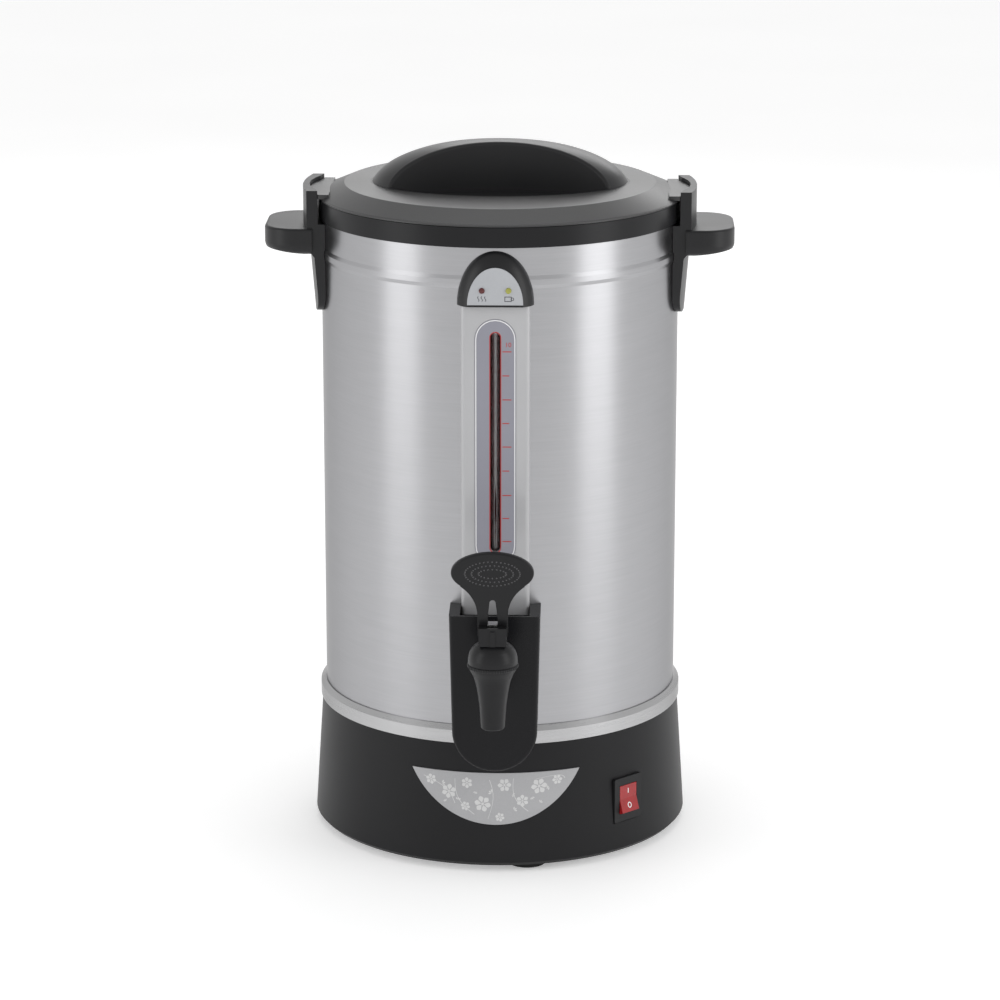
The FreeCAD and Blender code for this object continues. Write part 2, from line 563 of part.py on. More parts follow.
def outline(body, role, corners, lift="0"):
    """Closed straight-sided sketch with each corner tied to the sheet."""
    sketch = body.newObject("Sketcher::SketchObject", body.Name + "_outline")
    sketch.AttachmentSupport = [(origin_plane(body, role), "")]
    sketch.MapMode = "FlatFace"
    sketch.setExpression("AttachmentOffset.Base.z", linked(lift))
    points = [(number(across), number(up)) for across, up in corners]
    count = len(points)
    for index, point in enumerate(points):
        following = points[(index + 1) % count]
        sketch.addGeometry(Part.LineSegment(Vector(*point, 0), Vector(*following, 0)))
    for index in range(count):
        sketch.addConstraint(Sketcher.Constraint("Coincident", index, 2, (index + 1) % count, 1))
    for index, (texts, values) in enumerate(zip(corners, points)):
        for kind, text, value in zip(("DistanceX", "DistanceY"), texts, values):
            made = sketch.addConstraint(Sketcher.Constraint(kind, -1, 1, index, 1, value))
            sketch.setExpression(f"Constraints[{made}]", linked(text))
    return sketch


def revolved(name, corners, at=None):
    """Turned piece: the corners are radius and height."""
    body = doc.addObject("PartDesign::Body", name)
    feature = body.newObject("PartDesign::Revolution", name + "_turned")
    feature.Profile = outline(body, "XZ_Plane", corners)
    feature.ReferenceAxis = (feature.Profile[0], ["V_Axis"])
    feature.Angle = FULL_TURN
    body.Tip = feature
    if at:
        place(body, at)
    return body


def prism(name, role, corners, thick, at=None):
    """Plate of a straight-sided outline, thick to both sides of its plane."""
    body = doc.addObject("PartDesign::Body", name)
    feature = body.newObject("PartDesign::Pad", name + "_pad")
    feature.Profile = outline(body, role, corners)
    feature.Midplane = True
    bind(feature, Length=thick)
    body.Tip = feature
    if at:
        place(body, at)
    return body


def keep(node, item):
    """Name a finished sub-part, which is also its file's name, and carry it to the urn's place."""
    placed = group(node + "_placed", [item])
    place(placed, ("0", "axis_set_back", "0"))
    placed.Label = node
    SUBPARTS.append((node, placed))


def around(radius, angle, count):
    """Plan points spread evenly on a circle, from a first angle in degrees."""
    for index in range(count):
        turn = math.radians(angle + FULL_TURN / count * index)
        yield radius * math.cos(turn), radius * math.sin(turn)


def base_radius(level):
    """Expression for the outside of the base housing at a height."""
    slope = "(base_foot_radius - base_top_radius) / (base_top - base_low)"
    return f"(base_foot_radius - (({level}) - base_low) * {slope})"


def wall_skin():
    """Space that the base, band, wall, bead and collar fill, with the fixing gap round it."""
    return revolved("wall_skin", [
        ("0", "base_low"),
        (base_radius("base_low") + " + skin_gap", "base_low"),
        ("base_top_radius + skin_gap", "base_top"),
        ("band_radius + skin_gap", "base_top"),
        ("band_radius + skin_gap", "base_top + band_high - band_shoulder + skin_gap"),
        ("shell_radius + shell_wall + skin_gap", "base_top + band_high + skin_gap"),
        ("shell_radius + skin_gap", "base_top + band_high + skin_gap"),
        ("shell_radius + skin_gap", "bead_low - skin_gap"),
        ("shell_radius + bead_depth + skin_gap", "bead_low + bead_slope - skin_gap"),
        ("shell_radius + bead_depth + skin_gap", "bead_high - bead_slope + skin_gap"),
        ("shell_radius + skin_gap", "bead_high + skin_gap"),
        ("shell_radius + skin_gap", "collar_low - skin_gap"),
        ("collar_radius + skin_gap", "collar_low - skin_gap"),
        ("collar_radius + skin_gap", "collar_high"),
        ("0", "collar_high"),
    ])


def front_hole(name, half_wide, half_high, level, angle):
    """Square tool through the base wall, carried round to its place."""
    tool = box(name + "_blank",
               (f"-({half_wide})", "-base_foot_radius - base_wall", f"{level} - ({half_high})"),
               (half_wide, "-ledge_inner_radius", f"{level} + ({half_high})"))
    return turned(name, tool, angle)


def front_flat(name, half_wide, half_high, level, angle):
    """Tool that cuts the flat seat of a frame into the base wall."""
    tool = box(name + "_blank",
               (f"-({half_wide})", "-base_foot_radius - base_wall", f"{level} - ({half_high})"),
               (half_wide, "-switch_flat", f"{level} + ({half_high})"))
    return turned(name, tool, angle)


def make_base_housing():
    wall = revolved("base_wall_ring", [
        (base_radius("base_low") + " - base_edge", "base_low"),
        (base_radius("base_low + base_edge"), "base_low + base_edge"),
        ("base_top_radius", "base_top"),
        ("ledge_inner_radius", "base_top"),
        ("ledge_inner_radius", "base_top - ledge_thick"),
        ("base_top_radius - base_wall", "base_top - ledge_thick"),
        (base_radius("base_low") + " - base_edge - base_wall", "base_low"),
    ])
    bosses = []
    holes = []
    low = "plate_low + plate_thick"
    spots = around(number("boss_ring_radius"), number("boss_angle"), int(number("boss_count")))
    for index, (x, y) in enumerate(spots):
        spot = (str(x), str(y), low)
        bosses.append(cylinder(f"boss_{index}", "boss_radius", f"base_top - ledge_thick / 2 - ({low})",
                               spot))
        holes.append(cylinder(f"boss_hole_{index}", "screw_radius + screw_gap", "screw_long", spot))
    solid = fuse("base_solid", wall, *bosses)
    seat = "bezel_half_width + bezel_seat_gap"
    holes.append(front_flat("switch_seat", seat, "bezel_half_high + bezel_seat_gap", "switch_level",
                            "switch_angle"))
    holes.append(front_hole("switch_hole", "switch_half_width + switch_fit", "switch_half_high + switch_fit",
                            "switch_level", "switch_angle"))
    seat = "inlet_half_width + bezel_seat_gap"
    holes.append(front_flat("inlet_seat", seat, "inlet_half_high + bezel_seat_gap", "inlet_level", "180"))
    holes.append(front_hole("inlet_hole", "inlet_body_half_width + switch_fit",
                            "inlet_body_half_high + switch_fit", "inlet_level", "180"))
    seat = "reset_bush_radius + bezel_seat_gap"
    holes.append(front_flat("reset_seat", seat, seat, "reset_level", "reset_angle"))
    bore = cylinder("reset_hole_blank", "reset_body_radius + reset_gap", "base_foot_radius",
                    ("0", "-base_foot_radius - base_wall", "reset_level"), "y")
    holes.append(turned("reset_hole", common("reset_hole_front", bore, box(
        "reset_hole_box", ("-base_wall * 4", "-base_foot_radius - base_wall", "0"),
        ("base_wall * 4", "-ledge_inner_radius", "base_top"))), "reset_angle"))
    keep("base_housing", cut("base_housing", solid, *holes))


def make_base_plate():
    body = doc.addObject("PartDesign::Body", "base_plate")
    disc = body.newObject("PartDesign::Pad", "base_plate_disc")
    ring = body.newObject("Sketcher::SketchObject", "base_plate_ring")
    ring.AttachmentSupport = [(origin_plane(body, "XY_Plane"), "")]
    ring.MapMode = "FlatFace"
    ring.setExpression("AttachmentOffset.Base.z", linked("plate_low"))
    radius = base_radius("base_low") + " - base_edge - base_wall - plate_gap"
    ring.addGeometry(Part.Circle(Vector(), Vector(0, 0, 1), number(radius)))
    ring.addConstraint(Sketcher.Constraint("Coincident", 0, 3, -1, 1))
    made = ring.addConstraint(Sketcher.Constraint("Radius", 0, number(radius)))
    ring.setExpression(f"Constraints[{made}]", linked(radius))
    disc.Profile = ring
    bind(disc, Length="plate_thick")
    doc.recompute()
    slot = body.newObject("PartDesign::Pocket", "base_plate_slot")
    slot.Profile = outline(body, "XY_Plane", [
        ("vent_inner", "-vent_wide / 2"), ("vent_inner + vent_long", "-vent_wide / 2"),
        ("vent_inner + vent_long", "vent_wide / 2"), ("vent_inner", "vent_wide / 2"),
    ])
    slot.Type = "ThroughAll"
    slot.Midplane = True
    body.Tip = slot
    doc.recompute()
    pattern = body.newObject("PartDesign::PolarPattern", "base_plate_slots")
    pattern.Originals = [slot]
    pattern.Axis = (origin_axis(body, "Z_Axis"), [""])
    pattern.Angle = FULL_TURN
    bind_count(pattern, "vent_count")
    body.Tip = pattern
    holes = []
    rods = list(around(number("tie_ring_radius"), 30, int(number("tie_count"))))
    bosses = around(number("boss_ring_radius"), number("boss_angle"), int(number("boss_count")))
    feet = around(number("foot_ring_radius"), number("foot_angle"), int(number("boss_count")))
    for index, (x, y) in enumerate([*bosses, *feet]):
        holes.append(cylinder(f"plate_hole_{index}", "screw_radius + screw_gap", "plate_thick * 3",
                              (str(x), str(y), "plate_low - plate_thick")))
    for index, (x, y) in enumerate(rods):
        holes.append(cylinder(f"plate_tie_hole_{index}", "tie_radius + screw_gap", "plate_thick * 3",
                              (str(x), str(y), "plate_low - plate_thick")))
    holes.append(cylinder("plate_earth_hole", "earth_radius + screw_gap", "plate_thick * 3",
                          ("-earth_reach", "0", "plate_low - plate_thick")))
    keep("base_plate", cut("base_plate_drilled", body, *holes))


def origin_axis(body, role):
    return next(item for item in body.Origin.OriginFeatures if item.Role == role)


def bind_count(pattern, name):
    pattern.Occurrences = int(number(name))
    pattern.setExpression("Occurrences", linked(name))


def make_feet_and_screws():
    feet = []
    foot_screws = []
    for index, (x, y) in enumerate(around(number("foot_ring_radius"), number("foot_angle"), 4)):
        spot = (str(x), str(y), "0")
        blank = cone(f"foot_blank_{index}", "foot_radius - foot_taper", "foot_radius",
                     "plate_low - fine_gap", spot)
        recess = cylinder(f"foot_recess_{index}", "screw_head_radius + screw_gap * 4",
                          "plate_low - screw_head_high", spot)
        bore = cylinder(f"foot_bore_{index}", "screw_radius + screw_gap", "plate_low", spot)
        feet.append(cut(f"foot_{index}", blank, recess, bore))
        level = "plate_low - screw_head_high"
        head = cylinder(f"foot_screw_head_{index}", "screw_head_radius", "screw_head_high - plate_thick",
                        (str(x), str(y), level + " - screw_head_high + plate_thick"))
        shaft = cylinder(f"foot_screw_shaft_{index}", "screw_radius", "screw_head_high + plate_thick * 3",
                         (str(x), str(y), level))
        nut = hexagon(f"foot_screw_nut_{index}", "screw_head_radius", "plate_thick * 2",
                      (str(x), str(y), "plate_low + plate_thick"))
        foot_screws.append(fuse(f"foot_screw_{index}", head, shaft, nut))
    keep("rubber_feet", group("rubber_feet", feet))
    keep("foot_screws", group("foot_screws", foot_screws))
    base_screws = []
    spots = around(number("boss_ring_radius"), number("boss_angle"), int(number("boss_count")))
    for index, (x, y) in enumerate(spots):
        head = cylinder(f"base_screw_head_{index}", "screw_head_radius", "plate_low - base_low",
                        (str(x), str(y), "base_low"))
        shaft = cylinder(f"base_screw_shaft_{index}", "screw_radius", "screw_long",
                         (str(x), str(y), "plate_low"))
        base_screws.append(fuse(f"base_screw_{index}", head, shaft))
    keep("base_screws", group("base_screws", base_screws))


def handle_screw_spots():
    for side, turn in (("right", "90"), ("left", "270")):
        for level in ("handle_screw_low", "handle_screw_high"):
            yield side, turn, level


def make_outer_shell():
    sheet_ring = revolved("shell_ring", [
        ("shell_radius - shell_wall", "base_top"),
        ("shell_radius", "base_top"),
        ("shell_radius", "bead_low"),
        ("shell_radius + bead_depth", "bead_low + bead_slope"),
        ("shell_radius + bead_depth", "bead_high - bead_slope"),
        ("shell_radius", "bead_high"),
        ("shell_radius", "shell_top"),
        ("shell_radius - shell_wall", "shell_top"),
        ("shell_radius - shell_wall", "bead_high"),
        ("shell_radius + bead_depth - shell_wall", "bead_high - bead_slope"),
        ("shell_radius + bead_depth - shell_wall", "bead_low + bead_slope"),
        ("shell_radius - shell_wall", "bead_low"),
    ])
    slot = box("gauge_slot", ("-slot_half_width", "-shell_radius - shell_wall", "tee_high"),
               ("slot_half_width", "-tank_radius", "hood_low"))
    gate = box("tee_slot",
               ("-tee_half_width - shell_wall", "-shell_radius - shell_wall", "tee_low - 2 * shell_wall"),
               ("tee_half_width + shell_wall", "-tank_radius", "tee_high + 2 * shell_wall"))
    lamp_gate = box("lamp_slot",
                    ("-lamp_spread - lamp_radius - shell_wall", "-shell_radius - 3 * shell_wall",
                                  "lamp_level - lamp_radius - shell_wall"),
                    ("lamp_spread + lamp_radius + shell_wall", "-tank_radius",
                     "lamp_level + lamp_radius + shell_wall"))
    holes = [slot, gate, lamp_gate]
    for index, (side, turn, level) in enumerate(handle_screw_spots()):
        bar = cylinder(f"shell_hole_blank_{index}", "screw_radius + screw_gap", "shell_wall * 6",
                       ("0", "-shell_radius - shell_wall * 3", level), "y")
        holes.append(turned(f"shell_hole_{index}", bar, turn))
    keep("outer_shell", cut("outer_shell", sheet_ring, *holes))


def make_shell_band():
    keep("shell_band", revolved("shell_band", [
        ("shell_radius + fine_gap", "base_top"),
        ("band_radius", "base_top"),
        ("band_radius", "base_top + band_high - band_shoulder"),
        ("shell_radius + shell_wall", "base_top + band_high"),
        ("shell_radius + fine_gap", "base_top + band_high"),
        ("shell_radius + fine_gap", "base_top + band_high - shell_wall"),
        ("band_radius - shell_wall", "base_top + band_high - band_shoulder - shell_wall / 2"),
        ("band_radius - shell_wall", "base_top + shell_wall"),
        ("shell_radius + fine_gap", "base_top + shell_wall"),
    ]))


def make_inner_tank():
    cup = revolved("tank_cup", [
        ("0", "tank_floor"),
        ("tank_radius - tank_corner", "tank_floor"),
        ("tank_radius", "tank_floor + tank_corner"),
        ("tank_radius", "shell_top + fine_gap"),
        ("tank_lip", "shell_top + fine_gap"),
        ("tank_lip", "shell_top + fine_gap + tank_wall"),
        ("tank_radius - tank_wall", "shell_top + fine_gap + tank_wall"),
        ("tank_radius - tank_wall", "tank_floor + tank_corner + tank_wall / 2"),
        ("tank_radius - tank_corner - tank_wall / 2", "tank_floor + tank_wall"),
        ("0", "tank_floor + tank_wall"),
    ])
    hole = cylinder("tank_hole", "shank_radius + shank_gap", "tank_radius - shank_end",
                    ("0", "-tank_radius - tank_wall", "shank_level"), "y")
    keep("inner_tank", cut("inner_tank", cup, hole))


def make_top_collar():
    under = "shell_top + 2 * fine_gap + tank_wall"
    keep("top_collar", revolved("top_collar", [
        ("collar_bore", "collar_lip_low"),
        ("tank_radius - tank_wall - skin_gap", "collar_lip_low"),
        ("tank_radius - tank_wall - skin_gap", under),
        ("shell_radius + skin_gap", under),
        ("shell_radius + skin_gap", "collar_low"),
        ("collar_radius", "collar_low"),
        ("collar_radius", "collar_high"),
        ("collar_bore", "collar_high"),
    ]))


def ear_plan(name, grow, low, high):
    """Plan shape of a lid ear or its notch, at +X, between two heights."""
    arc = cylinder(name + "_arc", f"notch_radius + ({grow})", f"({high}) - ({low})",
                   ("notch_reach - ear_gap - notch_radius", "0", low))
    band = cylinder(name + "_band", f"collar_radius + handle_channel - ear_gap + ({grow})",
                    f"({high}) - ({low})", ("0", "0", low))
    return fuse(name, arc, band)


def make_handle(side, turn):
    blank = box(f"{side}_post_blank", ("ledge_inner_radius", "-handle_half_width", "handle_low"),
                ("handle_post_radius + 1", "handle_half_width", "handle_top"))
    low = number("handle_low") + 0.01
    blank = rounded(f"{side}_post_rounded", blank, "handle_leg_round",
                    lambda edge: edge.ZMax < low and edge.XLength > 1)
    sweep = revolved(f"{side}_post_sweep", [
        ("ledge_inner_radius", "handle_low"),
        ("handle_leg_radius", "handle_low"),
        ("handle_knee_radius", "handle_knee"),
        ("handle_post_radius", "handle_post_low"),
        ("handle_post_radius", "handle_top"),
        ("ledge_inner_radius", "handle_top"),
    ])
    post = common(f"{side}_post", blank, sweep)
    grip = box(f"{side}_grip_blank", ("handle_leg_radius", "-grip_half_width", "grip_low"),
               ("grip_reach", "grip_half_width", "grip_top"))
    reach = number("grip_reach") - 0.01
    grip = rounded(f"{side}_grip_plan", grip, "min(grip_corner; grip_long * 0.9)",
                   lambda edge: edge.XMin > reach and edge.ZLength > 1)
    bottom = number("grip_low") + 0.01
    grip = rounded(f"{side}_grip_under", grip, "grip_under_round",
                   lambda edge: edge.ZMax < bottom and edge.XMax > number("handle_leg_radius") + 1)
    top = number("grip_top") - 0.01
    grip = rounded(f"{side}_grip_round", grip, "grip_top_round",
                   lambda edge: edge.ZMin > top and edge.XMax > number("handle_leg_radius") + 1)
    under = revolved(f"{side}_grip_underside", [
        ("ledge_inner_radius", "handle_low"),
        ("handle_post_radius", "grip_low"),
        ("grip_reach + grip_corner",
         "grip_low + grip_tip_rise * (1 + grip_corner / (grip_reach - handle_post_radius))"),
        ("grip_reach + grip_corner", "grip_top + 1"),
        ("ledge_inner_radius", "grip_top + 1"),
    ])
    grip = common(f"{side}_grip", grip, under)
    channel = cylinder(f"{side}_channel", "collar_radius + handle_channel", "handle_top",
                       ("0", "0", "handle_channel_low"))
    notch = ear_plan(f"{side}_notch", "ear_gap", "notch_low", "handle_top + 1")
    holes = [SKIN, channel, notch]
    for index, level in enumerate(("handle_screw_low", "handle_screw_high")):
        holes.append(cylinder(f"{side}_screw_hole_{index}", "screw_radius",
                              "handle_screw_long + skin_gap * 2",
                              ("shell_radius", "0", level), "x"))
    finished = cut(f"{side}_handle_right", fuse(f"{side}_handle_solid", post, grip), *holes)
    keep(f"{side}_handle", turned(f"{side}_handle", finished, turn))


def make_handle_screws():
    screws = []
    for index, (side, turn, level) in enumerate(handle_screw_spots()):
        face = "-shell_radius + shell_wall + skin_gap"
        head = cylinder(f"handle_screw_head_{index}", "screw_head_radius", "screw_head_high",
                        ("0", face, level), "y")
        shaft = cylinder(f"handle_screw_shaft_{index}", "screw_radius", "handle_screw_long + shell_wall",
                         ("0", face + " - handle_screw_long - shell_wall", level), "y")
        screws.append(turned(f"handle_screw_{index}", fuse(f"handle_screw_blank_{index}", head, shaft),
                             turn))
    keep("handle_screws", group("handle_screws", screws))


def half_oval(name, grow, front, thick):
    """The lamp panel's arch as a plate, its front face at a distance from the axis."""
    level = "hood_low + panel_rise"
    bar = oval_bar(name + "_bar", f"panel_high + ({grow})", f"panel_half_width + ({grow})", thick,
                   ("0", f"-({front})", level), Vector(0, 1, 0), Rotation(Vector(1, 1, 1), 240))
    block = box(name + "_block", ("-hood_half_width", f"-({front}) - 1", level + f" - ({grow})"),
                ("hood_half_width", f"-({front}) + ({thick}) + 1", "hood_high"))
    return common(name, bar, block)


def make_hood():
    dome = ellipsoid("hood_dome", "hood_half_width", "hood_depth", "hood_high - hood_low",
                     ("0", "-hood_back", "hood_low"))
    block = box("hood_block", ("-hood_half_width - 1", "-hood_front", "hood_low"),
                ("hood_half_width + 1", "-tank_radius", "collar_low - skin_gap"))
    recess = half_oval("hood_recess", "fine_gap * 5", "hood_front + 1", "1 + panel_thick - panel_proud")
    holes = [SKIN, recess]
    for index, side in enumerate(("-", "")):
        holes.append(cylinder(f"hood_lamp_hole_{index}", "lamp_radius + screw_gap", "lamp_long * 2",
                              (side + "lamp_spread", "-hood_front - 1", "lamp_level"), "y"))
    keep("indicator_hood", cut("indicator_hood", common("hood_solid", dome, block), *holes))
    holes = []
    plate = half_oval("panel_plate", "0", "hood_front + panel_proud", "panel_thick")
    for index, side in enumerate(("-", "")):
        holes.append(cylinder(f"panel_lamp_hole_{index}", "lamp_radius + screw_gap", "lamp_long",
                              (side + "lamp_spread", "-hood_front - 1", "lamp_level"), "y"))
    keep("indicator_panel", cut("indicator_panel", plate, *holes))
    for node, side in (("heating_lamp", "-"), ("keep_warm_lamp", "")):
        lens = cylinder(node + "_blank", "lamp_radius", "lamp_long",
                        (side + "lamp_spread", "-hood_front - panel_proud - lamp_proud", "lamp_level"), "y")
        tip = number("-hood_front - panel_proud - lamp_proud") + 0.01
        keep(node, rounded(node, lens, "lamp_proud * 0.8", lambda edge: edge.YMax < tip))


def obround(name, half_width, low, high, front, back):
    """Upright plate with round ends, between two distances from the axis."""
    depth = f"({front}) - ({back})"
    middle = box(name + "_middle", (f"-({half_width})", f"-({front})", f"({low}) + ({half_width})"),
                 (half_width, f"-({back})", f"({high}) - ({half_width})"))
    ends = [cylinder(name + "_end_" + str(index), half_width, depth, ("0", f"-({front})", level), "y")
            for index, level in enumerate((f"({low}) + ({half_width})", f"({high}) - ({half_width})"))]
    return fuse(name, middle, *ends)


def make_gauge():
    blank = box("cover_blank", ("-cover_half_width", "-cover_front", "cover_low"),
                ("cover_half_width", "-tank_radius", "hood_low - fine_gap"))
    front = -number("cover_front") + 0.01
    blank = rounded("cover_rounded", blank, "cover_round",
                    lambda edge: edge.YMax < front and edge.ZLength > number("tap_head_radius"))
    recess = obround("cover_recess", "scale_half_width + scale_gap", "scale_low - scale_gap",
                     "scale_high + scale_gap", "cover_front + 1", "cover_front + scale_proud - scale_thick")
    window = obround("cover_window", "window_half_width", "window_low", "window_high",
                     "cover_front + 1", "tank_radius")
    cap_room = cylinder("cover_cap_room", "seal_radius + scale_gap", "seal_high + 4",
                        ("0", "-tube_reach", "tube_high - seal_high + 1"))
    tube_room = cylinder("cover_tube_room", "tube_radius + tube_gap", "tube_high - tube_low",
                         ("0", "-tube_reach", "tube_low"))
    keep("gauge_cover", cut("gauge_cover", blank, SKIN, recess, window, cap_room, tube_room))
    plate = obround("scale_blank", "scale_half_width", "scale_low", "scale_high",
                    "cover_front + scale_proud", "cover_front + scale_proud - scale_thick")
    window = obround("scale_window", "window_half_width", "window_low", "window_high",
                     "cover_front + 1", "tank_radius")
    keep("gauge_scale_plate", cut("gauge_scale_plate", plate, window))
    tube = cylinder("tube_blank", "tube_radius", "tube_high - tube_low", ("0", "-tube_reach", "tube_low"))
    bore = cylinder("tube_bore_blank", "tube_bore", "tube_high - tube_low + 2",
                    ("0", "-tube_reach", "tube_low - 1"))
    keep("sight_tube", cut("sight_tube", tube, bore))
    trough = box("trough_blank", ("-trough_half_width", "-shell_radius + skin_gap", "trough_low"),
                 ("trough_half_width", "-trough_back", "trough_high"))
    inside = box("trough_inside",
                 ("-trough_half_width + trough_wall", "-shell_radius - 1", "trough_low - 1"),
                 ("trough_half_width - trough_wall", "-trough_back - trough_wall", "trough_high + 1"))
    keep("gauge_trough", cut("gauge_trough", trough, inside))
    low_seal = cut("low_seal", cylinder("low_seal_blank", "seal_radius", "seal_high",
                                        ("0", "-tube_reach", "tube_low + tube_bore")),
                   cylinder("low_seal_bore", "tube_radius + fine_gap", "seal_high + 2",
                            ("0", "-tube_reach", "tube_low + tube_bore - 1")))
    cap = cut("top_cap", cylinder("top_cap_blank", "seal_radius", "seal_high",
                                  ("0", "-tube_reach", "tube_high - seal_high + 2")),
              cylinder("top_cap_bore", "tube_radius + fine_gap", "seal_high - 2 + fine_gap",
                       ("0", "-tube_reach", "tube_high - seal_high + 2")),
              cylinder("top_cap_vent", "1", "seal_high * 2", ("0", "-tube_reach", "tube_high - seal_high")))
    keep("gauge_seals", group("gauge_seals", [low_seal, cap]))
    block = box("tee_blank", ("-tee_half_width", "-guard_front + guard_wall + fine_gap", "tee_low"),
                ("tee_half_width", "-tee_back", "tee_high"))
    through = cylinder("tee_through", "shank_radius + screw_gap", "guard_front",
                       ("0", "-guard_front", "shank_level"), "y")
    port = cylinder("tee_port", "seal_radius + fine_gap", "tee_high", ("0", "-tube_reach", "tube_low"))
    passage = cylinder("tee_passage", "tube_bore", "tube_low - shank_level + 1",
                       ("0", "-tube_reach", "shank_level"))
    keep("gauge_tee", cut("gauge_tee", block, through, port, passage))


def make_tap_cover():
    middle = "guard_low + guard_half_low"
    upper = prism("guard_upper", "XZ_Plane", [
        ("-guard_half_low", middle), ("guard_half_low", middle),
        ("guard_half_top", "guard_top"), ("-guard_half_top", "guard_top"),
    ], "(guard_front - tank_radius) * 2", ("0", "-tank_radius", "0"))
    lower = cylinder("guard_lower", "guard_half_low", "guard_front - tank_radius",
                     ("0", "-guard_front", middle), "y")
    rear = box("guard_front_half", ("-guard_half_top - 1", "-guard_front", "base_low"),
               ("guard_half_top + 1", "-tank_radius", "guard_top"))
    solid = common("guard_solid", fuse("guard_blank", upper, lower), rear)
    front = -number("guard_front") + 0.01
    top = number("guard_top") - 0.01
    solid = rounded("guard_rounded", solid, "guard_round",
                    lambda edge: edge.YMax < front and edge.ZMin < top)
    side = "cover_half_width + guard_pocket_gap"
    floor = "guard_low + guard_floor"
    pocket = box("guard_pocket", (f"-({side})", "-guard_front + guard_wall", f"{floor} + {side}"),
                 (side, "-tank_radius + 1", "guard_top + 1"))
    bowl = cylinder("guard_bowl", side, "guard_front - guard_wall - tank_radius + 1",
                    ("0", "-guard_front + guard_wall", f"{floor} + {side}"), "y")
    bore = cylinder("guard_bore", "shank_radius + shank_gap", "guard_front",
                    ("0", "-guard_front - 1", "shank_level"), "y")
    keep("tap_cover", cut("tap_cover", solid, pocket, bowl, SKIN, bore))


def make_tap_body():
    at = ("0", "-tap_reach", "0")
    flare = [(f"tap_mouth_radius + (tap_head_radius - tap_mouth_radius) * {wider}",
              f"tap_low + (tap_joint - tap_low) * {higher}") for higher, wider in SPOUT_FLARE]
    barrel = revolved("tap_barrel", [
        ("0", "tap_low"),
        ("tap_mouth_radius - 0.6", "tap_low"),
        ("tap_mouth_radius", "tap_low + 0.8"),
        *flare,
        ("tap_head_radius", "tap_joint"),
        ("0", "tap_joint"),
    ], at)
    shank = cylinder("tap_shank", "shank_radius", "tap_reach - shank_end",
                     ("0", "-tap_reach", "shank_level"), "y")
    flange = cylinder("tap_flange", "flange_radius", "flange_thick",
                      ("0", "-guard_front - fine_gap - flange_thick", "shank_level"), "y")
    inside = revolved("tap_inside", [
        ("0", "tap_low - 1"),
        ("spout_bore + 0.6", "tap_low - 1"),
        ("spout_bore", "(tap_low + seat_level) / 2"),
        ("spout_bore", "seat_level + seat_lip_high"),
        ("spout_bore + seat_lip_wall", "seat_level + seat_lip_high"),
        ("spout_bore + seat_lip_wall", "seat_level"),
        ("chamber_radius", "seat_level"),
        ("chamber_radius", "tap_joint + 1"),
        ("0", "tap_joint + 1"),
    ], at)
    bore = cylinder("tap_shank_bore", "shank_bore", "tap_reach - shank_end + 1",
                    ("0", "-tap_reach", "shank_level"), "y")
    port = cylinder("tap_gauge_port", "tube_bore", "shank_radius + 1", ("0", "-tube_reach", "shank_level"))
    keep("tap_body", cut("tap_body", fuse("tap_solid", barrel, shank, flange), inside, bore, port))
    washers = []
    inner = cylinder("inner_washer_blank", "washer_radius", "tank_radius - washer_inner_face",
                     ("0", "-tank_radius", "shank_level"), "y")
    inner_room = cylinder("inner_washer_room", "tank_radius - tank_wall - fine_gap", "tank_floor",
                          ("0", "0", "shank_level - washer_radius - 1"))
    outer = cylinder("outer_washer_blank", "tee_half_width", "tee_back - tank_radius + 2",
                     ("0", "-tee_back + fine_gap", "shank_level"), "y")
    outer_room = cylinder("outer_washer_room", "tank_radius + fine_gap", "tank_floor",
                          ("0", "0", "shank_level - washer_radius - 1"))
    shank_room = cylinder("washer_bore", "shank_radius + fine_gap", "guard_front",
                          ("0", "-guard_front", "shank_level"), "y")
    washers.append(cut("inner_washer", common("inner_washer_solid", inner, inner_room), shank_room))
    washers.append(cut("outer_washer", outer, outer_room, shank_room))
    keep("tap_washers", group("tap_washers", washers))
    nut = hexagon("tap_nut_blank", "nut_radius", "nut_thick",
                  ("0", "-washer_inner_face + fine_gap", "shank_level"), "y")
    keep("tap_nut", cut("tap_nut", nut, shank_room))


def quarter(inner, outer, low, high):
    """Corners along a quarter of an ellipse, from the outer radius up to the inner one."""
    for step in range(DOME_STEPS + 1):
        bend = math.pi / 2 * step / DOME_STEPS
        yield (f"{inner} + ({outer} - {inner}) * {math.cos(bend):.5f}",
               f"{low} + ({high} - ({low})) * {math.sin(bend):.5f}")


def make_tap_bonnet():
    low = "tap_joint + tap_joint_gap"
    keep("tap_bonnet", revolved("tap_bonnet", [
        ("bonnet_cavity_radius", f"{low} - bonnet_spigot"),
        ("chamber_radius - bonnet_spigot_gap", f"{low} - bonnet_spigot"),
        ("chamber_radius - bonnet_spigot_gap", low),
        ("tap_head_radius", low),
        *quarter("bonnet_neck_radius", "tap_head_radius", f"{low} + bonnet_edge", "bonnet_top"),
        ("stem_radius + stem_gap", "bonnet_top"),
        ("stem_radius + stem_gap", "bonnet_cavity_top"),
        ("bonnet_cavity_radius", "bonnet_cavity_top"),
    ], ("0", "-tap_reach", "0")))


def cup_low():
    return "seat_level + seat_lip_high + seat_gap"


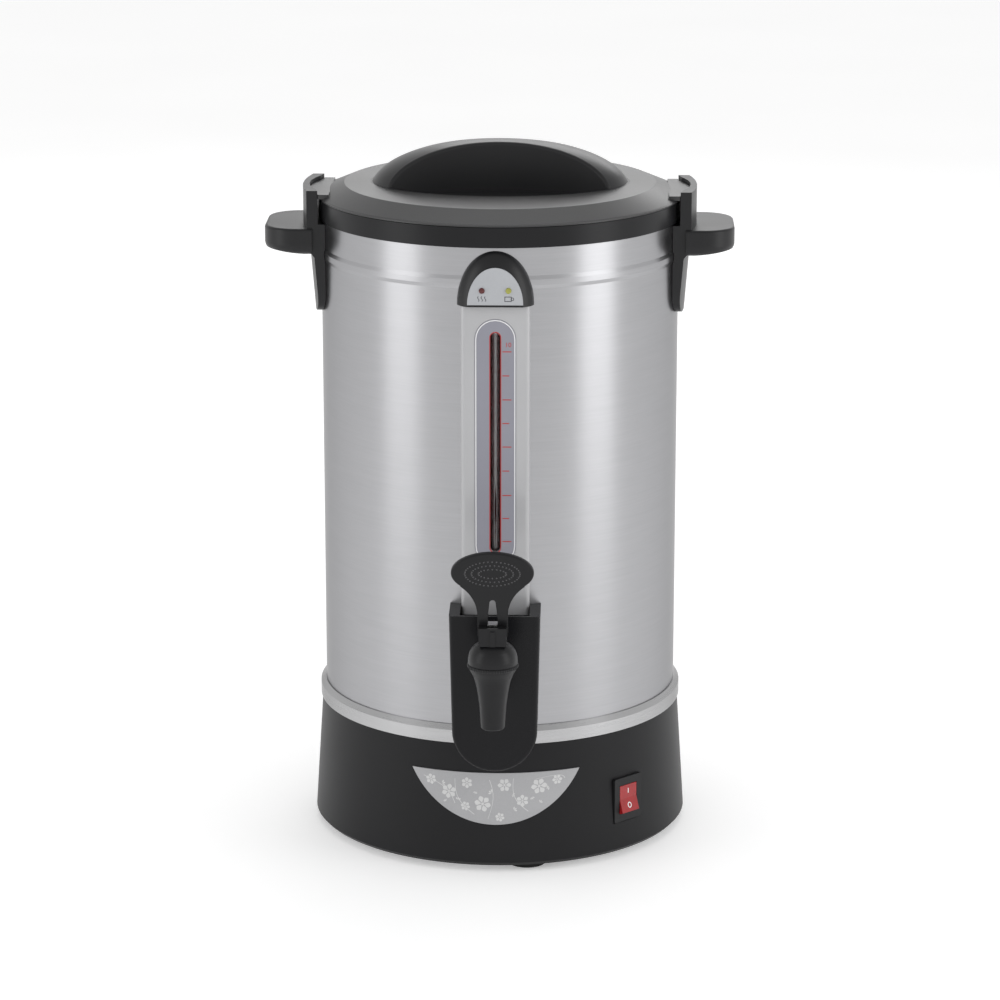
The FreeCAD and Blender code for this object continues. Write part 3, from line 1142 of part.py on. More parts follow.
def make_tap_valve():
    at = ("0", "-tap_reach", "0")
    foot = f"{cup_low()} + cup_floor"
    keep("tap_seat_cup", revolved("tap_seat_cup", [
        ("0", cup_low()),
        ("cup_radius - 0.5", cup_low()),
        ("cup_radius", f"{cup_low()} + 0.9"),
        ("cup_radius", f"{cup_low()} + cup_high"),
        ("stem_radius", f"{cup_low()} + cup_high"),
        ("stem_radius", foot),
        ("0", foot),
    ], at))
    rod = cylinder("stem_rod", "stem_radius", f"pin_level - ({foot})", ("0", "-tap_reach", foot))
    blade = box("stem_blade",
                ("-blade_half_width", "-tap_reach - blade_half_depth", "bonnet_top + heel_gap * 2"),
                ("blade_half_width", "-tap_reach + blade_half_depth", "blade_top"))
    hole = cylinder("stem_hole", "pin_radius + pin_gap", "blade_half_width * 2 + 2",
                    ("-blade_half_width - 1", "-tap_reach", "pin_level"), "x")
    keep("tap_stem", cut("tap_stem", fuse("stem_solid", rod, blade), hole))


def make_tap_spring():
    """Compression spring between the seat cup and the top of the bonnet's cavity."""
    low = f"{cup_low()} + cup_high + spring_wire * 1.2"
    tall = f"(bonnet_cavity_top - spring_wire * 1.2 - ({low}))"
    coil = doc.addObject("Part::Helix", "spring_coil")
    bind(coil, Pitch=tall + " / spring_turns", Height=tall, Radius="spring_radius")
    section = doc.addObject("Part::Circle", "spring_section")
    bind(section, Radius="spring_wire")
    climb = number(tall + " / spring_turns") / (2 * math.pi)
    facing = Rotation(Vector(0, 0, 1), Vector(0, number("spring_radius"), climb))
    place(section, ("spring_radius", "0", "0"), facing)
    wound = doc.addObject("Part::Sweep", "spring_wound")
    wound.Sections = [section]
    wound.Spine = (coil, [])
    wound.Solid = True
    wound.Frenet = True
    keep("tap_spring", place(group("tap_spring", [wound]), ("0", "-tap_reach", low)))


def make_tap_lever():
    tilt = Rotation(Vector(1, 0, 0), number("lever_lean"))
    half = "lever_thick / 2"
    neck = box("lever_neck", ("-neck_half_width", f"-{half}", "0"),
               ("neck_half_width", half, "paddle_centre"))
    flare = box("lever_flare", ("-flare_half_width", f"-{half}", "flare_start"),
                ("flare_half_width", half, "paddle_centre"))
    bites = [cylinder(f"lever_bite_{index}", "flare_radius", "lever_thick * 2",
                      (side + "(neck_half_width + flare_radius)", "-lever_thick", "flare_start"), "y")
             for index, side in enumerate(("-", ""))]
    paddle = oval_bar("lever_paddle", "paddle_half_width", "paddle_half_high", "lever_thick",
                      ("0", f"-{half}", "paddle_centre"), Vector(0, 1, 0), Rotation(Vector(1, 0, 0), 90))
    blade = fuse("lever_blade", neck, cut("lever_flanks", flare, *bites), paddle)
    slot = prism("lever_slot", "XZ_Plane", [
        ("-blade_half_width - blade_gap", "-heel_high * 2"),
        ("blade_half_width + blade_gap", "-heel_high * 2"),
        ("blade_half_width + blade_gap", "fork_straight"), ("fork_top_radius", "fork_top"),
        ("-fork_top_radius", "fork_top"), ("-blade_half_width - blade_gap", "fork_straight"),
    ], "lever_thick * 4")
    slot_end = cylinder("lever_slot_end", "fork_top_radius", "lever_thick * 4",
                        ("0", "-lever_thick * 2", "fork_top"), "y")
    upright = cut("lever_upright", blade, slot, slot_end)
    edge_low = number("flare_start")
    rim = number("lever_thick") / 2 - 0.01
    upright = rounded("lever_rounded", upright, "lever_thick * 0.3",
                      lambda edge: edge.ZMin > edge_low and edge.YMax - edge.YMin < 0.01
                      and abs(edge.YMin) > rim and edge.XLength > number("paddle_half_width"))
    upright = group("lever_tilted", [upright])
    place(upright, ("0", "-tap_reach", "pin_level"), tilt)
    low = "bonnet_top + heel_gap"
    heel = box("heel_blank", ("-heel_half_width", "-tap_reach - heel_front", low),
               ("heel_half_width", "-tap_reach + heel_back", "pin_level + heel_high"))
    rib = box("heel_rib", ("-heel_rib_half_width", "-tap_reach - heel_front - heel_rib_proud", low),
              ("heel_rib_half_width", "-tap_reach - heel_front + heel_front_wall / 2",
               "pin_level + heel_high - 2"))
    room = box("heel_room", ("-blade_half_width - blade_gap", "-tap_reach - heel_front + heel_front_wall",
                             f"{low} - 1"),
               ("blade_half_width + blade_gap", "-tap_reach + heel_back + 1", "pin_level + heel_high + 1"))
    bore = cylinder("heel_bore", "pin_radius", "heel_half_width * 2 + 2",
                    ("-heel_half_width - 1", "-tap_reach", "pin_level"), "x")
    trim = box("lever_trim", ("-heel_half_width * 2", "-tap_reach - heel_front * 2", "bonnet_cavity_top"),
               ("heel_half_width * 2", "-tap_reach + heel_back * 2", low))
    keep("tap_lever", cut("tap_lever", fuse("lever_solid", upright, heel, rib), room, bore, trim))
    keep("tap_lever_pin", cylinder("tap_lever_pin", "pin_radius", "heel_half_width * 2 - 0.4",
                                   ("-heel_half_width + 0.2", "-tap_reach", "pin_level"), "x"))


def make_badge():
    """Half-moon plate bent round the base: a thin cone cut to a chord and an arc."""
    ring = revolved("badge_ring", [
        (base_radius("base_low + base_edge") + " + badge_gap", "base_low + base_edge"),
        (base_radius("base_low + base_edge") + " + badge_gap + badge_thick", "base_low + base_edge"),
        ("base_top_radius + badge_gap + badge_thick", "base_top"),
        ("base_top_radius + badge_gap", "base_top"),
    ])
    reach = "(badge_half_width ^ 2 + badge_high ^ 2) / (2 * badge_high)"
    moon = cylinder("badge_moon", reach, "base_foot_radius + 10",
                    ("0", "-base_foot_radius - 10", f"badge_chord_level - badge_high + {reach}"), "y")
    below = box("badge_below",
                ("-badge_half_width", "-base_foot_radius - 10", "badge_chord_level - badge_high - 1"),
                ("badge_half_width", "-10", "badge_chord_level"))
    keep("badge_plate", common("badge_plate", ring, moon, below))


def make_switch():
    face = "switch_flat"
    frame = box("bezel_blank",
                ("-bezel_half_width", f"-{face} - bezel_proud", "switch_level - bezel_half_high"),
                ("bezel_half_width", f"-{face} - fine_gap", "switch_level + bezel_half_high"))
    frame = rounded("bezel_rounded", frame, "bezel_round",
                    lambda edge: edge.YLength > number("bezel_proud") / 2)
    shell = box("switch_body_blank", ("-switch_half_width", f"-{face} - bezel_proud / 2",
                                      "switch_level - switch_half_high"),
                ("switch_half_width", f"-{face} + switch_deep", "switch_level + switch_half_high"))
    room = box("rocker_room", ("-rocker_half_width - rocker_gap", f"-{face} - bezel_proud - 1",
                               "switch_level - rocker_radius - rocker_gap"),
               ("rocker_half_width + rocker_gap", f"-{face} - bezel_proud + rocker_radius * 1.6",
                "switch_level + rocker_radius + rocker_gap"))
    pivot = pivot_place()
    pivot_hole = cylinder("rocker_pivot_hole", "rocker_pin + pin_gap", "switch_half_width * 2 - 2",
                          ("-switch_half_width + 1", pivot[1], pivot[2]), "x")
    body = cut("bezel_front", fuse("bezel_solid", frame, shell), room, pivot_hole)
    keep("switch_bezel", turned("switch_bezel", body, "switch_angle"))
    wedge = prism("rocker_wedge", "YZ_Plane", [
        ("rocker_back", "-rocker_radius"), ("rocker_back", "rocker_radius"),
        ("-rocker_centre - rocker_radius * tan(rocker_tilt)", "rocker_radius"),
        ("-rocker_centre", "0"),
        ("-rocker_centre - rocker_radius * tan(rocker_tilt)", "-rocker_radius"),
    ], "rocker_half_width * 2")
    drum = cylinder("rocker_drum", "rocker_radius", "rocker_half_width * 2",
                    ("-rocker_half_width", "0", "0"), "x")
    pin = cylinder("rocker_pin_bar", "rocker_pin", "switch_half_width * 2 - 2.4",
                   ("-switch_half_width + 1.2", "0", "0"), "x")
    rocker = fuse("rocker_upright", common("rocker_solid", wedge, drum), pin)
    tilted = group("rocker_tilted", [rocker])
    place(tilted, pivot, Rotation(Vector(1, 0, 0), -number("rocker_tilt")))
    keep("switch_rocker", turned("switch_rocker", tilted, "switch_angle"))


def pivot_place():
    """The rocker's pivot before the switch is carried round the base."""
    return ("0", "-switch_flat - bezel_proud + rocker_centre", "switch_level")


def make_inlet():
    face = "switch_flat"
    frame = box("inlet_frame",
                ("-inlet_half_width", f"-{face} - bezel_proud", "inlet_level - inlet_half_high"),
                ("inlet_half_width", f"-{face} - fine_gap", "inlet_level + inlet_half_high"))
    frame = rounded("inlet_frame_rounded", frame, "bezel_round",
                    lambda edge: edge.YLength > number("bezel_proud") / 2)
    shell = box("inlet_body_blank", ("-inlet_body_half_width", f"-{face} - bezel_proud / 2",
                                     "inlet_level - inlet_body_half_high"),
                ("inlet_body_half_width", f"-{face} + inlet_deep", "inlet_level + inlet_body_half_high"))
    room = box("socket_room",
               ("-socket_half_width", f"-{face} - bezel_proud - 1", "inlet_level - socket_half_high"),
               ("socket_half_width", f"-{face} - bezel_proud + socket_deep",
                "inlet_level + socket_half_high"))
    holes = [room]
    pins = []
    for index, (side, rise) in enumerate((("-", "-"), ("0 *", ""), ("", "-"))):
        x = f"{side} pin_blade_spread"
        z = f"inlet_level {rise or '+'} pin_blade_drop"
        low = (f"{x} - pin_blade_half_width", f"-{face} - bezel_proud + pin_blade_short",
               f"{z} - pin_blade_half_high")
        high = (f"{x} + pin_blade_half_width", f"-{face} + inlet_deep + pin_blade_tail",
                f"{z} + pin_blade_half_high")
        pins.append(box(f"mains_pin_{index}", low, high))
        holes.append(box(f"mains_pin_slot_{index}",
                         (low[0] + " - fine_gap", low[1], low[2] + " - fine_gap"),
                         (high[0] + " + fine_gap", high[1], high[2] + " + fine_gap")))
    body = cut("inlet_front", fuse("inlet_solid", frame, shell), *holes)
    keep("power_inlet", turned("power_inlet", body, "180"))
    keep("inlet_pins", turned("inlet_pins", group("inlet_pins_front", pins), "180"))


def make_reset():
    face = "switch_flat"
    flange = cylinder("reset_flange", "reset_bush_radius", "reset_bush_thick",
                      ("0", f"-{face} - reset_bush_thick - fine_gap", "reset_level"), "y")
    barrel = cylinder("reset_barrel", "reset_body_radius", "reset_body_deep + reset_bush_thick",
                      ("0", f"-{face} - reset_bush_thick - fine_gap", "reset_level"), "y")
    room = cylinder("reset_room", "reset_radius + reset_gap", "reset_body_deep",
                    ("0", f"-{face} - reset_bush_thick - 1", "reset_level"), "y")
    keep("reset_bush",
         turned("reset_bush", cut("reset_bush_front", fuse("reset_solid", flange, barrel), room),
                              "reset_angle"))
    button = cylinder("reset_button_blank", "reset_radius", "reset_proud + reset_button_deep",
                      ("0", f"-{face} - reset_bush_thick - reset_proud", "reset_level"), "y")
    tip = number(f"-{face} - reset_bush_thick - reset_proud") + 0.01
    button = rounded("reset_button_round", button, "reset_gap * 3", lambda edge: edge.YMax < tip)
    keep("reset_button", turned("reset_button", button, "reset_angle"))


def make_heater():
    top = "tank_floor - heater_gap"
    keep("heater_plate", cylinder("heater_plate", "heater_radius", "heater_thick",
                                  ("0", "0", f"{top} - heater_thick")))
    under = f"{top} - heater_thick - heater_gap"
    ring = doc.addObject("Part::Torus", "element_ring")
    bind(ring, Radius1="element_ring_radius", Radius2="element_radius")
    place(ring, ("0", "0", f"{under} - element_radius"))
    tails = [cylinder(f"element_tail_{index}", "element_tail_radius", "element_tail_long",
                      (side + "element_tail_spread",
                       "sqrt(element_ring_radius ^ 2 - element_tail_spread ^ 2)",
                       f"{under} - element_radius - element_tail_long"))
             for index, side in enumerate(("-", ""))]
    keep("heating_element", fuse("heating_element", ring, *tails))
    for node, side in (("thermal_cutout", "-"), ("keep_warm_thermostat", "")):
        can = cylinder(node + "_can", "clixon_radius", "clixon_high",
                       (side + "clixon_spread", "0", f"{under} - clixon_high"))
        tabs = [box(f"{node}_tab_{index}",
                    (f"{side}clixon_spread - 3", f"{edge} clixon_radius / 2 - 0.4",
                     f"{under} - clixon_high - 7"),
                    (f"{side}clixon_spread + 3", f"{edge} clixon_radius / 2 + 0.4",
                     f"{under} - clixon_high / 2"))
                for index, edge in enumerate(("-", "+"))]
        keep(node, fuse(node, can, *tabs))


def make_tie_rods():
    rods = []
    nuts = []
    top = "tank_floor - heater_gap"
    for index, (x, y) in enumerate(around(number("tie_ring_radius"), 30, int(number("tie_count")))):
        low = "plate_low - tie_nut_high * 0.5"
        under = f"{top} - heater_thick - heater_gap"
        rods.append(cylinder(f"tie_rod_{index}", "tie_radius", f"{under} - ({low})", (str(x), str(y), low)))
        bore = cylinder(f"tie_nut_bore_{index}", "tie_radius + fine_gap", "tie_nut_high * 3",
                        (str(x), str(y), "plate_low"))
        nut = hexagon(f"tie_nut_blank_{index}", "tie_nut_radius", "tie_nut_high",
                      (str(x), str(y), "plate_low + plate_thick + fine_gap"))
        nuts.append(cut(f"tie_nut_{index}", nut, bore))
    keep("tie_rods", group("tie_rods", rods))
    keep("tie_nuts", group("tie_nuts", nuts))


def make_electrics():
    low = "plate_low + plate_thick + fine_gap"
    blank = box("block_blank", ("-block_half_long", "block_back - block_half_wide", low),
                ("block_half_long", "block_back + block_half_wide", f"{low} + block_high"))
    wells = []
    screws = []
    for index, place_text in enumerate(("-block_screw_pitch", "0", "block_screw_pitch")):
        wells.append(cylinder(f"block_well_{index}", "screw_head_radius", "block_high / 2 + 1",
                              (place_text, "block_back", f"{low} + block_high / 2")))
        screws.append(cylinder(f"block_screw_{index}", "screw_head_radius - screw_gap * 4", "block_high / 4",
                               (place_text, "block_back", f"{low} + block_high / 2 + fine_gap")))
    keep("terminal_block", cut("terminal_block", blank, *wells))
    keep("terminal_screws", group("terminal_screws", screws))
    stud = cylinder("earth_rod", "earth_radius", "earth_high + plate_thick",
                    ("-earth_reach", "0", "plate_low"))
    nut = hexagon("earth_nut", "earth_radius * 2", "earth_radius * 1.5",
                  ("-earth_reach", "0", low))
    keep("earth_stud", fuse("earth_stud", stud, nut))


def make_lid():
    rim = "collar_high + lid_gap"
    skin = revolved("lid_skin", [
        ("0", "lid_flat - lid_wall"),
        ("lid_flat_radius - 1", "lid_flat - lid_wall"),
        ("lid_skirt_inner", f"{rim} + lid_rim_high"),
        ("lid_skirt_inner", rim),
        ("lid_radius", rim),
        ("lid_radius", f"{rim} + lid_rim_high"),
        ("lid_radius - lid_slope_start", f"{rim} + lid_rim_high + lid_slope_start * 0.6"),
        ("lid_flat_radius", "lid_flat"),
        ("0", "lid_flat"),
    ])
    plan = ear_plan("ear_plan", "0", "ear_low", "ear_high")
    reach = box("ear_reach", ("lid_skirt_inner - 4", "-handle_half_width", "ear_low"),
                ("handle_post_radius", "handle_half_width", "ear_high"))
    ear = common("right_ear", plan, reach)
    other = group("left_ear", [ear])
    other.Placement = Placement(Vector(), FLIP)
    hole = oval_bar("well_hole", "well_half_long + well_gap", "well_half_wide + well_gap", "lid_wall * 4",
                    ("0", "0", "lid_flat - lid_wall * 2"), Vector(0, 0, 1), Rotation())
    keep("lid_shell", cut("lid_shell", fuse("lid_solid", skin, ear, other), hole))


def make_lid_grip():
    floor = "lid_flat - well_depth"
    dish = oval_bar("grip_dish", "well_half_long", "well_half_wide", "well_depth + well_wall",
                    ("0", "0", f"{floor} - well_wall"), Vector(0, 0, 1), Rotation())
    flange = oval_bar("grip_flange", "well_half_long + well_flange", "well_half_wide + well_flange",
                      "well_wall",
                      ("0", "0", "lid_flat - lid_wall - fine_gap - well_wall"), Vector(0, 0, 1), Rotation())
    dome = ellipsoid("grip_dome", "well_half_long", "well_half_wide", f"dome_top - ({floor})",
                     ("0", "0", floor))
    above = box("grip_above", ("-well_half_long - 1", "-well_half_wide - 1", floor),
                ("well_half_long + 1", "well_half_wide + 1", "dome_top + 1"))
    hollow = oval_bar("grip_hollow", "well_half_long - well_wall", "well_half_wide - well_wall",
                      "well_depth + 1",
                      ("0", "0", floor), Vector(0, 0, 1), Rotation())
    scoops = [cylinder(f"grip_scoop_{index}", "scoop_radius", "dome_top",
                       ("0", f"{side}(ridge_half_thick + scoop_radius)", floor))
              for index, side in enumerate(("-", ""))]
    ridge = cut("grip_ridge", common("grip_dome_top", dome, above), *scoops)
    top = number(floor) + number("scoop_round")
    thin = number("ridge_half_thick") / 2
    ridge = rounded("grip_ridge_round", ridge, "scoop_round",
                    lambda edge: edge.ZMax > top + thin and edge.XLength > number("well_half_wide"))
    posts = [cylinder(f"lid_post_{index}", "lid_post_radius",
                      f"{floor} - well_wall / 2 - (liner_low + liner_wall + fine_gap)",
                      (x, y, "liner_low + liner_wall + fine_gap"))
             for index, (x, y) in enumerate(lid_post_spots())]
    holes = [cylinder(f"lid_post_hole_{index}", "screw_radius", "screw_long * 0.75",
                      (x, y, "liner_low"))
             for index, (x, y) in enumerate(lid_post_spots())]
    bowl = cut("grip_bowl", fuse("grip_bowl_solid", dish, flange), hollow)
    keep("lid_grip", cut("lid_grip", fuse("grip_solid", bowl, ridge, *posts), *holes))


def lid_post_spots():
    for along in ("-lid_post_long", "lid_post_long"):
        for across in ("-lid_post_wide", "lid_post_wide"):
            yield along, across


def make_lid_liner():
    rise = "liner_low + liner_rise"
    lip = "collar_high + gasket_gap * 2 + gasket_high"
    pan = revolved("liner_pan", [
        ("0", "liner_low"),
        ("liner_floor_radius", "liner_low"),
        ("liner_radius", rise),
        ("liner_radius", lip),
        ("liner_lip", lip),
        ("liner_lip", f"{lip} + liner_wall"),
        ("liner_radius - liner_wall", f"{lip} + liner_wall"),
        ("liner_radius - liner_wall", f"{rise} + liner_wall / 2"),
        ("liner_floor_radius - liner_wall / 2", "liner_low + liner_wall"),
        ("0", "liner_low + liner_wall"),
    ])
    holes = [cylinder(f"liner_hole_{index}", "screw_radius + screw_gap", "liner_wall * 3",
                      (x, y, "liner_low - liner_wall"))
             for index, (x, y) in enumerate(lid_post_spots())]
    keep("lid_liner", cut("lid_liner", pan, *holes))
    keep("lid_gasket", revolved("lid_gasket", [
        ("gasket_inner", "collar_high + gasket_gap"),
        ("gasket_outer", "collar_high + gasket_gap"),
        ("gasket_outer", "collar_high + gasket_gap + gasket_high"),
        ("gasket_inner", "collar_high + gasket_gap + gasket_high"),
    ]))
    screws = []
    for index, (x, y) in enumerate(lid_post_spots()):
        head = cylinder(f"lid_screw_head_{index}", "screw_head_radius", "screw_head_high - fine_gap",
                        (x, y, "liner_low - screw_head_high"))
        shaft = cylinder(f"lid_screw_shaft_{index}", "screw_radius",
                         "screw_long * 0.7 + screw_head_high / 2",
                         (x, y, "liner_low - screw_head_high / 2"))
        screws.append(fuse(f"lid_screw_{index}", head, shaft))
    keep("lid_screws", group("lid_screws", screws))


def check_and_write():
    """Stop at any failed object, then write one file for each sub-part."""
    doc.recompute()
    for item in doc.Objects:
        if {"Invalid", "Error"} & set(item.State):
            raise RuntimeError(f"{item.Name} failed: {item.State}")
    for node, item in SUBPARTS:
        if item.Shape.isNull() or not item.Shape.isValid():
            raise RuntimeError(f"{node} has no valid shape")
    os.makedirs("parts", exist_ok=True)
    for node, item in SUBPARTS:
        item.Shape.exportStep(f"parts/{node}.step")
        bounds = item.Shape.BoundBox
        print(f"{node:22s} solids {len(item.Shape.Solids)} volume {item.Shape.Volume:10.1f}"
              f" z {bounds.ZMin:7.2f} {bounds.ZMax:7.2f}")


SKIN = wall_skin()
make_base_housing()
make_base_plate()
make_feet_and_screws()
make_outer_shell()
make_shell_band()
make_inner_tank()
make_top_collar()
make_handle("right", "0")
make_handle("left", "180")
make_handle_screws()
make_hood()
make_gauge()
make_tap_cover()
make_tap_body()
make_tap_bonnet()
make_tap_valve()
make_tap_spring()
make_tap_lever()
make_badge()
make_switch()
make_inlet()
make_reset()
make_heater()
make_tie_rods()
make_electrics()
make_lid()
make_lid_grip()
make_lid_liner()
check_and_write()
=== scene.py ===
import math
import random

import bmesh
import bpy
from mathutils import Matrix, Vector


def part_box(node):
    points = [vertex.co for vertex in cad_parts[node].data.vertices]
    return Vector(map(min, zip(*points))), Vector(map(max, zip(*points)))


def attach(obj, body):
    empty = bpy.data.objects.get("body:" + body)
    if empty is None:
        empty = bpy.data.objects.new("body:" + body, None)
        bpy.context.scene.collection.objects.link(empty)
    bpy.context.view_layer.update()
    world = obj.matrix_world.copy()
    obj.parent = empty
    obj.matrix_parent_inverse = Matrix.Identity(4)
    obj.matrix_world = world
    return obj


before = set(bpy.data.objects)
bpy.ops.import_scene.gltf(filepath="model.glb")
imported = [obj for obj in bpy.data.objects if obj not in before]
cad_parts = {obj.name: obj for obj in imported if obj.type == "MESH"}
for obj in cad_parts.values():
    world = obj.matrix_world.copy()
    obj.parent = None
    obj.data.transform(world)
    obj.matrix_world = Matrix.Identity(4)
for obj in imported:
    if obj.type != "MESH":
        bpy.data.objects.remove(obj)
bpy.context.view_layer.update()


MM = 0.001
DARK_STOP, LIGHT_STOP = 0.3, 0.7
low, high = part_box("inner_tank")
AXIS_Y = (low[1] + high[1]) / 2
random.seed(11)


# Node material helpers

def new_material(name):
    material = bpy.data.materials.new(name)
    material.use_nodes = True
    tree = material.node_tree
    shader = tree.nodes["Principled BSDF"]
    return material, tree, shader


def node(tree, kind, **settings):
    made = tree.nodes.new(kind)
    for key, value in settings.items():
        setattr(made, key, value)
    return made


def wire(tree, source, target):
    tree.links.new(source, target)


def position(tree):
    """Place in the frame, in metres, measured from the urn's own axis."""
    coords = node(tree, "ShaderNodeTexCoord")
    moved = node(tree, "ShaderNodeVectorMath", operation="SUBTRACT")
    moved.inputs[1].default_value = (0, AXIS_Y, 0)
    wire(tree, coords.outputs["Object"], moved.inputs[0])
    return moved.outputs[0]


def math_node(tree, operation, first, second=None):
    made = node(tree, "ShaderNodeMath", operation=operation)
    for socket, value in zip(made.inputs, (first, second)):
        if value is None:
            continue
        if isinstance(value, (int, float)):
            socket.default_value = value
        else:
            wire(tree, value, socket)
    return made.outputs[0]


def noise(tree, vector, scale, detail=3.0, roughness=0.5):
    made = node(tree, "ShaderNodeTexNoise")
    made.inputs["Scale"].default_value = scale
    made.inputs["Detail"].default_value = detail
    made.inputs["Roughness"].default_value = roughness
    wire(tree, vector, made.inputs["Vector"])
    return made.outputs[0]


def ramp(tree, factor, stops):
    made = node(tree, "ShaderNodeValToRGB")
    ladder = made.color_ramp
    while len(ladder.elements) < len(stops):
        ladder.elements.new(0.5)
    for element, (spot, color) in zip(ladder.elements, stops):
        element.position = spot
        element.color = (*color, 1)
    wire(tree, factor, made.inputs[0])
    return made.outputs[0]


def spread(tree, factor, low_value, high_value):
    made = node(tree, "ShaderNodeMapRange")
    made.inputs["To Min"].default_value = low_value
    made.inputs["To Max"].default_value = high_value
    wire(tree, factor, made.inputs["Value"])
    return made.outputs[0]


def bump(tree, shader, height, strength, distance):
    made = node(tree, "ShaderNodeBump")
    made.inputs["Strength"].default_value = strength
    made.inputs["Distance"].default_value = distance
    wire(tree, height, made.inputs["Height"])
    wire(tree, made.outputs[0], shader.inputs["Normal"])


def shade(color, factor):
    return tuple(min(channel * factor, 1) for channel in color)


def tones(tree, factor, color, vary):
    """A colour that goes a little darker and lighter with the factor."""
    return ramp(tree, factor, [(DARK_STOP, shade(color, 1 - vary)), (LIGHT_STOP, shade(color, 1 + vary))])


def blend(tree, first, share, second):
    """Weighted sum of two patterns."""
    return math_node(tree, "ADD", math_node(tree, "MULTIPLY", first, share),
                     math_node(tree, "MULTIPLY", second, 1 - share))


def plastic(name, color, rough=0.45, grain=1400, depth=0.03, vary=0.12, coat=0.0, specular=0.5):
    """Moulded plastic: a fine grain, slow changes of tone, and a little uneven gloss."""
    material, tree, shader = new_material(name)
    place = position(tree)
    slow = noise(tree, place, 18, 2)
    fine = noise(tree, place, grain, 3, 0.6)
    mixed = blend(tree, slow, 0.6, fine)
    wire(tree, tones(tree, mixed, color, vary), shader.inputs["Base Color"])
    wire(tree, spread(tree, mixed, rough - 0.06, rough + 0.06), shader.inputs["Roughness"])
    shader.inputs["Coat Weight"].default_value = coat
    shader.inputs["Coat Roughness"].default_value = 0.12
    shader.inputs["Specular IOR Level"].default_value = specular
    bump(tree, shader, fine, 0.35, depth * MM)
    return material


def brushed(name, color, rough, aniso=0.6, depth=0.004, vary=0.05, edge=0.6):
    """Steel brushed round the urn's axis, a little darker towards its edges."""
    material, tree, shader = new_material(name)
    parts = node(tree, "ShaderNodeSeparateXYZ")
    wire(tree, position(tree), parts.inputs[0])
    turn = math_node(tree, "ARCTAN2", parts.outputs[0], math_node(tree, "MULTIPLY", parts.outputs[1], -1))
    lines = node(tree, "ShaderNodeCombineXYZ")
    around, up = 2.2, 900
    wire(tree, math_node(tree, "MULTIPLY", turn, around), lines.inputs[0])
    wire(tree, math_node(tree, "MULTIPLY", parts.outputs[2], up), lines.inputs[1])
    streaks = noise(tree, lines.outputs[0], 1.0, 5, 0.65)
    broad = node(tree, "ShaderNodeCombineXYZ")
    wire(tree, math_node(tree, "MULTIPLY", turn, around * 1.3), broad.inputs[0])
    wire(tree, math_node(tree, "MULTIPLY", parts.outputs[2], up * 0.22), broad.inputs[1])
    bands = noise(tree, broad.outputs[0], 1.0, 3, 0.5)
    mixed = blend(tree, streaks, 0.65, bands)
    wire(tree, tones(tree, mixed, color, vary), shader.inputs["Base Color"])
    wire(tree, spread(tree, mixed, rough - 0.05, rough + 0.07), shader.inputs["Roughness"])
    shader.inputs["Metallic"].default_value = 1.0
    shader.inputs["Specular Tint"].default_value = (edge, edge, edge, 1)
    shader.inputs["Anisotropic"].default_value = aniso
    shader.inputs["Anisotropic Rotation"].default_value = 0.25
    tangent = node(tree, "ShaderNodeTangent", direction_type="RADIAL", axis="Z")
    wire(tree, tangent.outputs[0], shader.inputs["Tangent"])
    bump(tree, shader, streaks, 0.25, depth * MM)
    return material


def metal(name, color, rough, grain=700, vary=0.06):
    """Plain metal with a fine uneven polish."""
    material, tree, shader = new_material(name)
    place = position(tree)
    mixed = noise(tree, place, grain, 4, 0.6)
    wire(tree, tones(tree, mixed, color, vary), shader.inputs["Base Color"])
    wire(tree, spread(tree, mixed, rough - 0.06, rough + 0.08), shader.inputs["Roughness"])
    shader.inputs["Metallic"].default_value = 1.0
    bump(tree, shader, mixed, 0.15, 0.01 * MM)
    return material


def clear(name, color, rough, alpha, inner=0.0):
    """Clear glass or lamp plastic with a faint unevenness."""
    material, tree, shader = new_material(name)
    place = position(tree)
    mixed = noise(tree, place, 260, 2)
    wire(tree, tones(tree, mixed, color, 0.1), shader.inputs["Base Color"])
    wire(tree, spread(tree, mixed, rough, rough + 0.08), shader.inputs["Roughness"])
    shader.inputs["Transmission Weight"].default_value = alpha
    shader.inputs["IOR"].default_value = 1.46
    shader.inputs["Coat Weight"].default_value = 0.4
    if inner:
        shader.inputs["Emission Color"].default_value = (*color, 1)
        shader.inputs["Emission Strength"].default_value = inner
    return material


